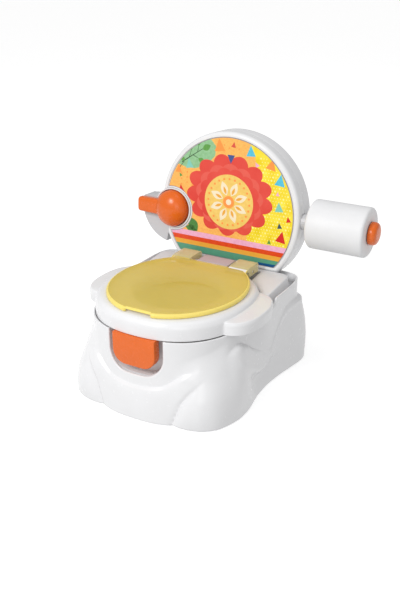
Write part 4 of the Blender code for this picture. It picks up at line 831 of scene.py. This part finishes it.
# ------------------------------------------------------------------ backrest
def build_backrest():
    angles = back_angles(220, 40)

    def rows_of(section, first, last):
        rows = [[first]]
        for inset, depth in section:
            rows.append([(back_radius(t, inset) * math.cos(t), depth, back_radius(t, inset) * math.sin(t)) for t in angles])
        rows.append([last])
        return mm(rows)

    section = rounded([(30, 1.6, 0), (8.7, 1.6, 0.3), (8.2, 0.25, 0.4), (5.0, 0.1, 9), (1.6, 1.8, 9), (0, 5.2, 9), (0, 21.0, 0.7), (2.6, 21.0, 0.3),
                       (3.0, 6.2, 2), (6.0, 4.2, 1), (30, 4.2, 0)], 6)
    front = piece("backrest_front_visual", skin(rows_of(section, (0, 1.6, 0), (0, 4.2, 0))), BACK, WHITE)
    section = rounded([(40, 54, 0), (10, 54.0, 20), (3.4, 52.0, 9), (0.2, 46.0, 9), (0, 21.3, 0.7), (2.6, 21.3, 0.3), (3.0, 45.6, 3), (11, 51.4, 3), (40, 51.4, 0)], 6)
    rear = piece("backrest_rear_visual", skin(rows_of(section, (0, 54, 0), (0, 51.4, 0))), BACK, WHITE)
    for x in (-60, 60):
        combine(front, tool("tongue", block((x - 20, 2.2, -134), (x + 20, 12.6, -87)), BACK), "UNION")
    for shell in (front, rear):
        combine(shell, tool("bite", rod(36.2, (-108.4, -20, -9.9), (-108.4, 70, -9.9), 128), BACK))
        outline = [(-108.4 + x, -9.9 + u) for x, u in housing_outline(60.3, 32.8, 166, 259.2, 15.1, 40)]
        combine(shell, tool("housing_way", slab(outline, "xz", -20, 70), BACK))
        combine(shell, tool("socket_way", rod(13.4, (105, 180, 244.7), (159, 180, 244.7), 48), SEAT))
    combine(rear, tool("battery_opening", block((-36, 30, -67), (36, 70, -19)), BACK))
    for i in range(5):
        combine(rear, tool("speaker_slot", block((48, 30, -32 - 6 * i), (76, 70, -29.6 - 6 * i)), BACK))
    for x, u in ((-62, 88), (62, 88), (-66, -74), (66, -74)):
        combine(front, tool("post", rod(4.6, (x, 3.0, u), (x, 48.6, u), 32), BACK), "UNION")
        combine(front, tool("post_bore", rod(1.8, (x, 30, u), (x, 61, u), 20), BACK))
        combine(rear, tool("screw_hole", rod(4.4, (x, 47, u), (x, 66, u), 32), BACK))
    settle(front, "root", ["backrest_front_shell"], 32)
    settle(rear, "root", ["backrest_rear_shell"], 32)


def housing_outline(radius, disc, start, end, top, fine=24):
    pts = []
    for i in range(fine + 1):
        a = math.radians(end + (360 + 128 - end) * i / fine)
        pts.append((disc * math.cos(a), disc * math.sin(a)))
    x_out = -math.sqrt(radius ** 2 - top ** 2)
    x_in = -math.sqrt(max(disc ** 2 - top ** 2, 0))
    pts.append((x_in, top))
    pts.append((x_out + 2.5, top))
    pts.append((x_out + 0.9, top - 0.8))
    a0 = math.degrees(math.atan2(top - 3, x_out))
    a0 = a0 % 360
    for i in range(fine + 1):
        a = math.radians(a0 + (end - a0) * i / fine)
        pts.append((radius * math.cos(a), radius * math.sin(a)))
    return pts


build_backrest()


# ------------------------------------------------------------------ printed sheet: the builder's own pattern of a flower and paper scraps
INK = {
    "edge": printed("ink_grey_edge", lin(150, 140, 150)),
    "amber": printed("ink_amber", lin(243, 172, 84), lin(250, 190, 100), 0.02, 420.0),
    "yellow": printed("ink_yellow", lin(238, 210, 20), lin(248, 226, 70), 0.02, 70.0),
    "pale": printed("ink_pale_yellow", lin(250, 240, 150)),
    "mint": printed("ink_mint", lin(135, 185, 135), lin(150, 196, 150)),
    "leaf": printed("ink_leaf", lin(84, 146, 66), lin(100, 160, 76)),
    "stem": printed("ink_stem", lin(44, 70, 44)),
    "deep_leaf": printed("ink_deep_leaf", lin(62, 118, 52), lin(80, 140, 62)),
    "sky": printed("ink_sky", lin(75, 185, 215), lin(90, 195, 222)),
    "teal": printed("ink_teal", lin(130, 200, 185)),
    "navy": printed("ink_navy", lin(60, 80, 140)),
    "slate": printed("ink_slate", lin(45, 75, 95)),
    "scarlet": printed("ink_scarlet", lin(214, 38, 38)),
    "coral": printed("ink_coral", lin(214, 82, 66)),
    "tangerine": printed("ink_tangerine", lin(246, 150, 70)),
    "rose": printed("ink_rose", lin(234, 168, 200), lin(240, 180, 208)),
    "tan": printed("ink_tan", lin(236, 196, 98), lin(240, 204, 112)),
    "cream": printed("ink_cream", lin(242, 228, 198)),
    "petal": printed("ink_petal", lin(214, 54, 42), lin(224, 78, 66), 0.0, 14.0),
    "petal_light": printed("ink_petal_light", lin(226, 92, 78)),
    "red": printed("ink_red_stripe", lin(218, 66, 18), lin(224, 74, 24)),
    "gold": printed("ink_gold_stripe", lin(232, 166, 58)),
    "sea": printed("ink_sea_stripe", lin(86, 152, 124)),
    "blue": printed("ink_blue", lin(14, 78, 128)),
}


def sheet_limit(inset):
    pts = []
    for t in back_angles(200, 0):
        r = back_radius(t, 0, 120.8 - inset, 125.6 - inset, 82.6 - inset)
        pts.append((r * math.cos(t), r * math.sin(t)))
    return pts


def clipped(poly, limit):
    """The part of an outline inside a convex, anticlockwise limit."""
    out = list(poly)
    for i in range(len(limit)):
        ax, ay = limit[i]
        bx, by = limit[(i + 1) % len(limit)]

        def side(p):
            return (bx - ax) * (p[1] - ay) - (by - ay) * (p[0] - ax)
        new = []
        for j in range(len(out)):
            p, q = out[j], out[(j + 1) % len(out)]
            sp, sq = side(p), side(q)
            if sp >= 0:
                new.append(p)
            if (sp > 0 > sq) or (sp < 0 < sq):
                t = sp / (sp - sq)
                new.append((p[0] + (q[0] - p[0]) * t, p[1] + (q[1] - p[1]) * t))
        out = new
        if len(out) < 3:
            return []
    tidy = []
    for p in out:
        if not tidy or (Vector(p) - Vector(tidy[-1])).length > 0.02:
            tidy.append(p)
    if len(tidy) > 2 and (Vector(tidy[0]) - Vector(tidy[-1])).length <= 0.02:
        tidy.pop()
    return tidy if len(tidy) > 2 else []


LIMIT = sheet_limit(0.9)
SHEET_FACE = 0.3


def ink(name, shapes, colour, level, bite=False):
    """One colour of the print: flat patches a few hundredths proud of the sheet, level by level."""
    bm = bmesh.new()
    for poly in shapes:
        poly = clipped(poly, LIMIT)
        if len(poly) < 3:
            continue
        part = slab(poly, "xz", SHEET_FACE - 0.035 * level, SHEET_FACE - 0.035 * (level - 1) + 0.01)
        mesh = bpy.data.meshes.new("part")
        part.to_mesh(mesh)
        part.free()
        bm.from_mesh(mesh)
        bpy.data.meshes.remove(mesh)
    obj = piece("print_" + name, bm, BACK, INK[colour])
    if bite:
        combine(obj, tool("print_bite", rod(39.8, (-108.4, -20, -9.9), (-108.4, 30, -9.9), 128), BACK))
    settle(obj, "root", (), 30)


def disc_shape(x, u, r, sides=14, squash=1.0):
    return [(x + r * math.cos(2 * math.pi * i / sides), u + r * squash * math.sin(2 * math.pi * i / sides)) for i in range(sides)]


def triangle(x, u, size, turn):
    return [(x + size * k * math.cos(math.radians(turn + a)), u + size * k * math.sin(math.radians(turn + a)))
            for a, k in ((90, 1.15), (215, 1.0), (325, 1.0))]


def leaf(x, u, long, wide, turn):
    pts = []
    for i in range(9):
        s = i / 9
        pts.append((long * s, wide * math.sin(math.pi * s ** 0.9)))
    for i in range(9):
        s = 1 - i / 9
        pts.append((long * s, -wide * math.sin(math.pi * s ** 0.9)))
    c, n = math.cos(math.radians(turn)), math.sin(math.radians(turn))
    out = []
    for a, b in pts:
        p = (x + a * c - b * n, u + a * n + b * c)
        if not out or (Vector(p) - Vector(out[-1])).length > 0.05:
            out.append(p)
    return out[:-1] if (Vector(out[0]) - Vector(out[-1])).length < 0.05 else out


def stroke(x0, u0, x1, u1, half):
    d = Vector((x1 - x0, u1 - u0)).normalized()
    n = Vector((-d.y, d.x)) * half
    return [(x0 + n.x, u0 + n.y), (x0 - n.x, u0 - n.y), (x1 - n.x * 0.5, u1 - n.y * 0.5), (x1 + n.x * 0.5, u1 + n.y * 0.5)]


def scallops(cx, cu, rx, ru, count, depth, turn=0.0, fine=14):
    pts = []
    total = count * fine
    for i in range(total):
        a = 2 * math.pi * i / total
        k = 1 + depth * (abs(math.sin(count * (a - math.radians(turn)) / 2)) ** 0.75 - 1)
        pts.append((cx + rx * k * math.cos(a), cu + ru * k * math.sin(a)))
    return pts


def build_print():
    outline = sheet_limit(0.0)
    sheet = piece("graphic_sheet", slab(outline, "xz", SHEET_FACE, 1.3), BACK, INK["edge"])
    combine(sheet, tool("sheet_bite", rod(39.0, (-108.4, -20, -9.9), (-108.4, 30, -9.9), 128), BACK))
    settle(sheet, "root", ["graphic_panel"], 30)

    ink("amber_field", [sheet_limit(0.4)], "amber", 0.5, bite=True)
    ink("yellow_field", [[(30, 130), (46, 100), (52, 70), (40, 30), (30, -10), (40, -45.5), (130, -45.5), (130, 130)]], "yellow", 1)
    ink("mint_field", [[(-112, 62), (-98, 70), (-84, 66), (-66, 66), (-44, 74), (-28, 92), (-27, 108), (-36, 118), (-60, 122), (-100, 110)]], "mint", 1)
    spots = []
    for i in range(30):
        for j in range(26):
            x = 28 + 5.2 * i + (2.6 if j % 2 else 0)
            u = -42 + 5.6 * j
            if x > 30 + 18 * (u > 60) + 6 and (x / 117) ** 2 + (u / 122) ** 2 < 1:
                spots.append(disc_shape(x, u, 0.95 if (i * 7 + j * 3) % 5 else 1.7, 8))
    ink("pale_spots", spots, "pale", 2)
    ink("amber_spots", [disc_shape(-92 + 11 * i, 36 + 9 * j + (4 if i % 2 else 0), 1.6, 10) for i in range(3) for j in range(3)]
        + [disc_shape(-20 + 9 * i, 108 + 4 * (i % 2), 1.4, 10) for i in range(5)], "tangerine", 2)
    # sprig
    ink("sprig_stem", [stroke(-92, 74, -52, 101, 0.9), stroke(-78, 83, -74, 97, 0.6), stroke(-70, 88, -60, 84, 0.6), stroke(-62, 94, -60, 106, 0.6),
                       stroke(-98, 62, -86, 78, 0.7)], "stem", 2)
    ink("sprig_leaves", [leaf(-52, 100, 17, 5.4, 30), leaf(-74, 96, 13, 4.2, 105), leaf(-60, 84, 15, 4.6, -28), leaf(-60, 105, 12, 3.8, 96),
                         leaf(-86, 77, 12, 3.6, 150)], "leaf", 3)
    ink("low_leaves", [leaf(-58, -44, 30, 9.5, 128), leaf(-60, -42, 22, 6.5, 172)], "deep_leaf", 2, bite=True)
    # paper scraps
    ink("scraps_sky", [triangle(38, 105, 10.5, 4), triangle(93, 64, 11.5, -6)], "sky", 3)
    ink("scraps_teal", [triangle(-77, 71, 9.5, 10), triangle(94, 20, 9.5, 6)], "teal", 3)
    ink("scraps_scarlet", [triangle(-92, 24, 9.5, 8), triangle(101, -30, 11.5, -8), triangle(112, 3, 5.5, 14)], "scarlet", 3, bite=True)
    ink("scraps_coral", [triangle(6, 113, 5.5, -8)], "coral", 3)
    ink("scraps_tangerine", [triangle(-20, 108, 12.5, 6), triangle(76, 88, 11, -12), triangle(-98, 60, 8, 0)], "tangerine", 3)
    ink("scraps_rose", [triangle(50, 86, 5, 30), triangle(90, 43, 4, 0)], "rose", 3)
    ink("scraps_slate", [triangle(97, -10, 5.5, 10)], "slate", 3)
    ink("scraps_leaf", [triangle(80, -40, 4.5, 0), triangle(-94, 51, 3.8, 30)], "leaf", 3)
    # flower
    ink("petals", [scallops(1, 28, 82, 70, 13, 0.16, 6)], "petal", 4)
    ink("petals_inner", [scallops(1, 24, 64, 58, 13, 0.10, 20)], "petal_light", 5)
    ink("petals_core", [scallops(1, 22, 58, 53, 13, 0.10, 6)], "petal", 6)
    ink("heart", [disc_shape(1, 17, 46, 72, 1.02)], "tan", 7)
    ink("heart_petals", [leaf(1 + 12 * math.cos(math.radians(a)), 17 + 12 * math.sin(math.radians(a)), 25, 6.6, a) for a in range(22, 382, 45)], "cream", 8)
    ink("heart_petals_gold", [leaf(1 + 14 * math.cos(math.radians(a)), 17 + 14 * math.sin(math.radians(a)), 14, 2.4, a) for a in range(22, 382, 45)], "gold", 9)
    ink("heart_middle", [disc_shape(1, 17, 10.5, 40)], "tangerine", 9)
    ink("heart_dot", [disc_shape(1, 17, 5.0, 30)], "cream", 10)
    ink("heart_beads", [disc_shape(1 + 39 * math.cos(math.radians(a)), 17 + 39.6 * math.sin(math.radians(a)), 2.0, 14) for a in range(0, 360, 15)], "tangerine", 8)
    ink("scrap_navy", [triangle(2, 92, 8.5, 180)], "navy", 5)
    # stripes
    ink("stripe_rose", [[(-130, -54), (130, -54), (130, -44.5), (-130, -44.5)]], "rose", 5, bite=True)
    ink("stripe_red", [[(-130, -62), (130, -62), (130, -53.8), (-130, -53.8)]], "red", 6)
    ink("stripe_gold", [[(-130, -70), (130, -70), (130, -61.8), (-130, -61.8)]], "gold", 7)
    ink("stripe_sea", [[(-130, -90), (130, -90), (130, -69.8), (-130, -69.8)]], "sea", 8)
    ink("stripe_blue", [[(62, -90), (130, -90), (130, -76), (62, -77.5)]], "blue", 9)


build_print()


# ------------------------------------------------------------------ flush housing and lever
def build_flush():
    turn = Matrix.Rotation(math.pi / 2, 4, "X")               # local Z becomes -Y, out of the panel
    profile = rounded([(0, 1.2, 0), (35.8, 1.2, 0.9), (35.8, -35.4, 0.6), (0, -35.4, 0)], 4)
    housing = piece("flush_housing_visual", revolve([p for p in profile], 144), LEVER @ turn, [SOFT, GREY])
    combine(housing, tool("fan", slab(housing_outline(64.5, 30.3, 167, 258, 14.5, 44), "xz", 3.6, 36.0, 1.2, 4, 0.6), LEVER), "UNION")
    recess = rounded([(0, 10, 0), (33.6, 10, 0), (33.6, 0.9, 0.6), (32.9, 0.2, 0.4), (32.9, -12, 0.8), (0, -12, 0)], 3)
    combine(housing, tool("ball_recess", revolve(recess, 144), LEVER @ turn))
    sweep = [(69 * math.cos(math.radians(155 + 101.5 * i / 20)), 69 * math.sin(math.radians(155 + 101.5 * i / 20))) for i in range(21)]
    sweep.append((20 * math.cos(math.radians(256.5)), 20 * math.sin(math.radians(256.5))))
    sweep.append((20 * math.cos(math.radians(155)), 20 * math.sin(math.radians(155))))
    combine(housing, tool("arm_window", slab(sweep, "xz", -6, 4.5), LEVER))
    combine(housing, tool("room", slab(housing_outline(56.5, 26.8, 168.5, 255.5, 11.7, 30), "xz", 14.6, 50), LEVER))
    combine(housing, tool("shaft_bore", rod(4.4, (0, 5, 0), (0, 20, 0), 24), LEVER))
    inverse = LEVER.inverted()
    for face in housing.data.polygons:
        spots = [inverse @ housing.data.vertices[i].co for i in face.vertices]
        if max(math.hypot(spot.x, spot.z) for spot in spots) > 36.2 * MM:
            face.material_index = 1
    settle(housing, "root", ["flush_housing"], 32)

    # lever: dome and arm blended into one another
    profile = [(0, 23.5)]
    for i in range(1, 25):
        a = math.pi / 2 * i / 24
        profile.append((28.5 * math.sin(a), 3.0 + 20.5 * math.cos(a)))
    profile += [(28.5, -6), (27.9, -8.4), (26.0, -10.5), (0, -10.5)]
    lever = piece("flush_lever_visual", revolve(profile, 128), LEVER @ Matrix.Diagonal((1.06, 1.0, 1.125, 1.0)) @ turn, ORANGE)
    tip = -175.0 + 108.4
    rows = []
    for k in range(41):
        s = k / 40
        x = -4 + (tip + 4) * s
        reach = (x - tip)
        ease = math.sqrt(max(0.0, 1 - (1 - min(1.0, reach / 5.0)) ** 2)) if reach < 5 else 1.0
        half = (13.8 + (13.0 - 13.8) * s) * (0.60 + 0.40 * ease)
        deep = 8.0 * (0.5 + 0.5 * ease)
        mid_u = -0.4 + 0.9 * s
        mid_y = -5.0 + 0.0 * s
        row = []
        for i in range(40):
            a = 2 * math.pi * i / 40
            c, n = math.cos(a), math.sin(a)
            e = 2 / 4.6
            row.append((x, mid_y + deep * math.copysign(abs(c) ** e, c), mid_u + half * math.copysign(abs(n) ** e, n)))
        rows.append(row)
    combine(lever, tool("arm", skin(mm(rows)), LEVER), "UNION")
    remesh = lever.modifiers.new("even", "REMESH")
    remesh.mode = "VOXEL"
    remesh.voxel_size = 0.75 * MM
    ease_mod = lever.modifiers.new("ease", "SMOOTH")
    ease_mod.factor = 0.6
    ease_mod.iterations = 12
    graph = bpy.context.evaluated_depsgraph_get()
    mesh = bpy.data.meshes.new_from_object(lever.evaluated_get(graph))
    lever.modifiers.clear()
    lever.data = mesh
    if not mesh.materials:
        mesh.materials.append(ORANGE)
    combine(lever, tool("shaft_pocket", rod(3.8, (0, 2, 0), (0, 14, 0), 24), LEVER))
    settle(lever, "lever", ["flush_lever"], 60)


build_flush()


# ------------------------------------------------------------------ roll and knob
def build_roll():
    e = 5.0
    profile = [(18.0, 0.6), (18.0, ROLL_LONG - 0.6), (18.6, ROLL_LONG)]
    for i in range(9):
        a = math.pi / 2 * i / 8
        profile.append((40.7 - e + e * math.sin(a), ROLL_LONG - e + e * math.cos(a)))
    for i in range(9):
        a = math.pi / 2 * i / 8
        profile.append((40.7 - e + e * math.cos(a), e - e * math.sin(a)))
    profile.append((18.6, 0.0))
    roll = piece("paper_roll_visual", revolve(profile, 160, True), ROLL, ROLL_MAT)
    settle(roll, "roll", ["paper_roll"], 40)

    x0, x1 = ROLL_LONG + 0.9, 259.5 - 148.0
    outline = rounded([(0, x1, 0), (12, x1 - 0.5, 30), (16.6, x1 - 2.6, 6), (18.7, x1 - 6.6, 5), (18.7, x0 + 0.9, 1.2), (17.4, x0, 0.8), (5.3, x0, 0.3),
                       (5.3, ROLL_LONG + 6.4, 0), (0, ROLL_LONG + 6.4, 0)], 6)
    knob = piece("spindle_knob_visual", revolve(outline, 96), ROLL, ORANGE)
    settle(knob, "spindle", ["spindle_knob"], 34)


build_roll()


# ------------------------------------------------------------------ stage, light and camera
def build_stage():
    bm = bmesh.new()
    bmesh.ops.create_grid(bm, x_segments=2, y_segments=2, size=8.0)
    mesh = bpy.data.meshes.new("floor")
    bm.to_mesh(mesh)
    bm.free()
    floor = bpy.data.objects.new("floor", mesh)
    bpy.context.scene.collection.objects.link(floor)
    pale = moulded("floor_pale", (0.95, 0.95, 0.95), 0.75, 0.004, 0.0, grain=60.0, spread=2.0)
    shader = pale.node_tree.nodes["Principled BSDF"]
    shader.inputs["Emission Color"].default_value = (1, 1, 1, 1)
    shader.inputs["Emission Strength"].default_value = 0.42
    if hasattr(pale, "cycles"):
        pale.cycles.emission_sampling = "NONE"
    mesh.materials.append(pale)
    floor.visible_diffuse = False      # the paper stays pale without washing out the flanks from below

    world = bpy.data.worlds.new("studio")
    world.use_nodes = True
    world.node_tree.nodes["Background"].inputs["Color"].default_value = (1.0, 1.0, 1.0, 1)
    world.node_tree.nodes["Background"].inputs["Strength"].default_value = 0.585
    bpy.context.scene.world = world

    def lamp(name, place, target, size, power):
        data = bpy.data.lights.new(name, "AREA")
        data.shape = "RECTANGLE"
        data.size, data.size_y = size
        data.energy = power
        obj = bpy.data.objects.new(name, data)
        bpy.context.scene.collection.objects.link(obj)
        obj.location = place
        obj.rotation_euler = (Vector(target) - Vector(place)).to_track_quat("-Z", "Y").to_euler()

    lamp("key", (-0.45, -1.75, 1.45), (OX, OY, 0.15), (0.6, 0.6), 24.5)
    lamp("fill", (1.05, -1.95, 0.8), (OX, OY, 0.12), (1.0, 1.0), 6.0)
    lamp("top", (0.35, 0.1, 2.0), (OX, OY, 0.1), (0.9, 0.9), 2.5)

    data = bpy.data.cameras.new("camera")
    data.lens = 50
    data.sensor_width = 36
    data.sensor_fit = "AUTO"
    data.clip_start = 0.05
    camera = bpy.data.objects.new("camera", data)
    bpy.context.scene.collection.objects.link(camera)
    place = Vector((0.6296 + OX, -1.0333 + OY, 0.6856))
    target = Vector((0.0353 + OX, 0.0055 + OY, 0.1502))
    camera.location = place
    camera.rotation_euler = (place - target).to_track_quat("Z", "Y").to_euler()
    bpy.context.scene.camera = camera


build_stage()
bpy.context.scene.view_settings.view_transform = "Standard"
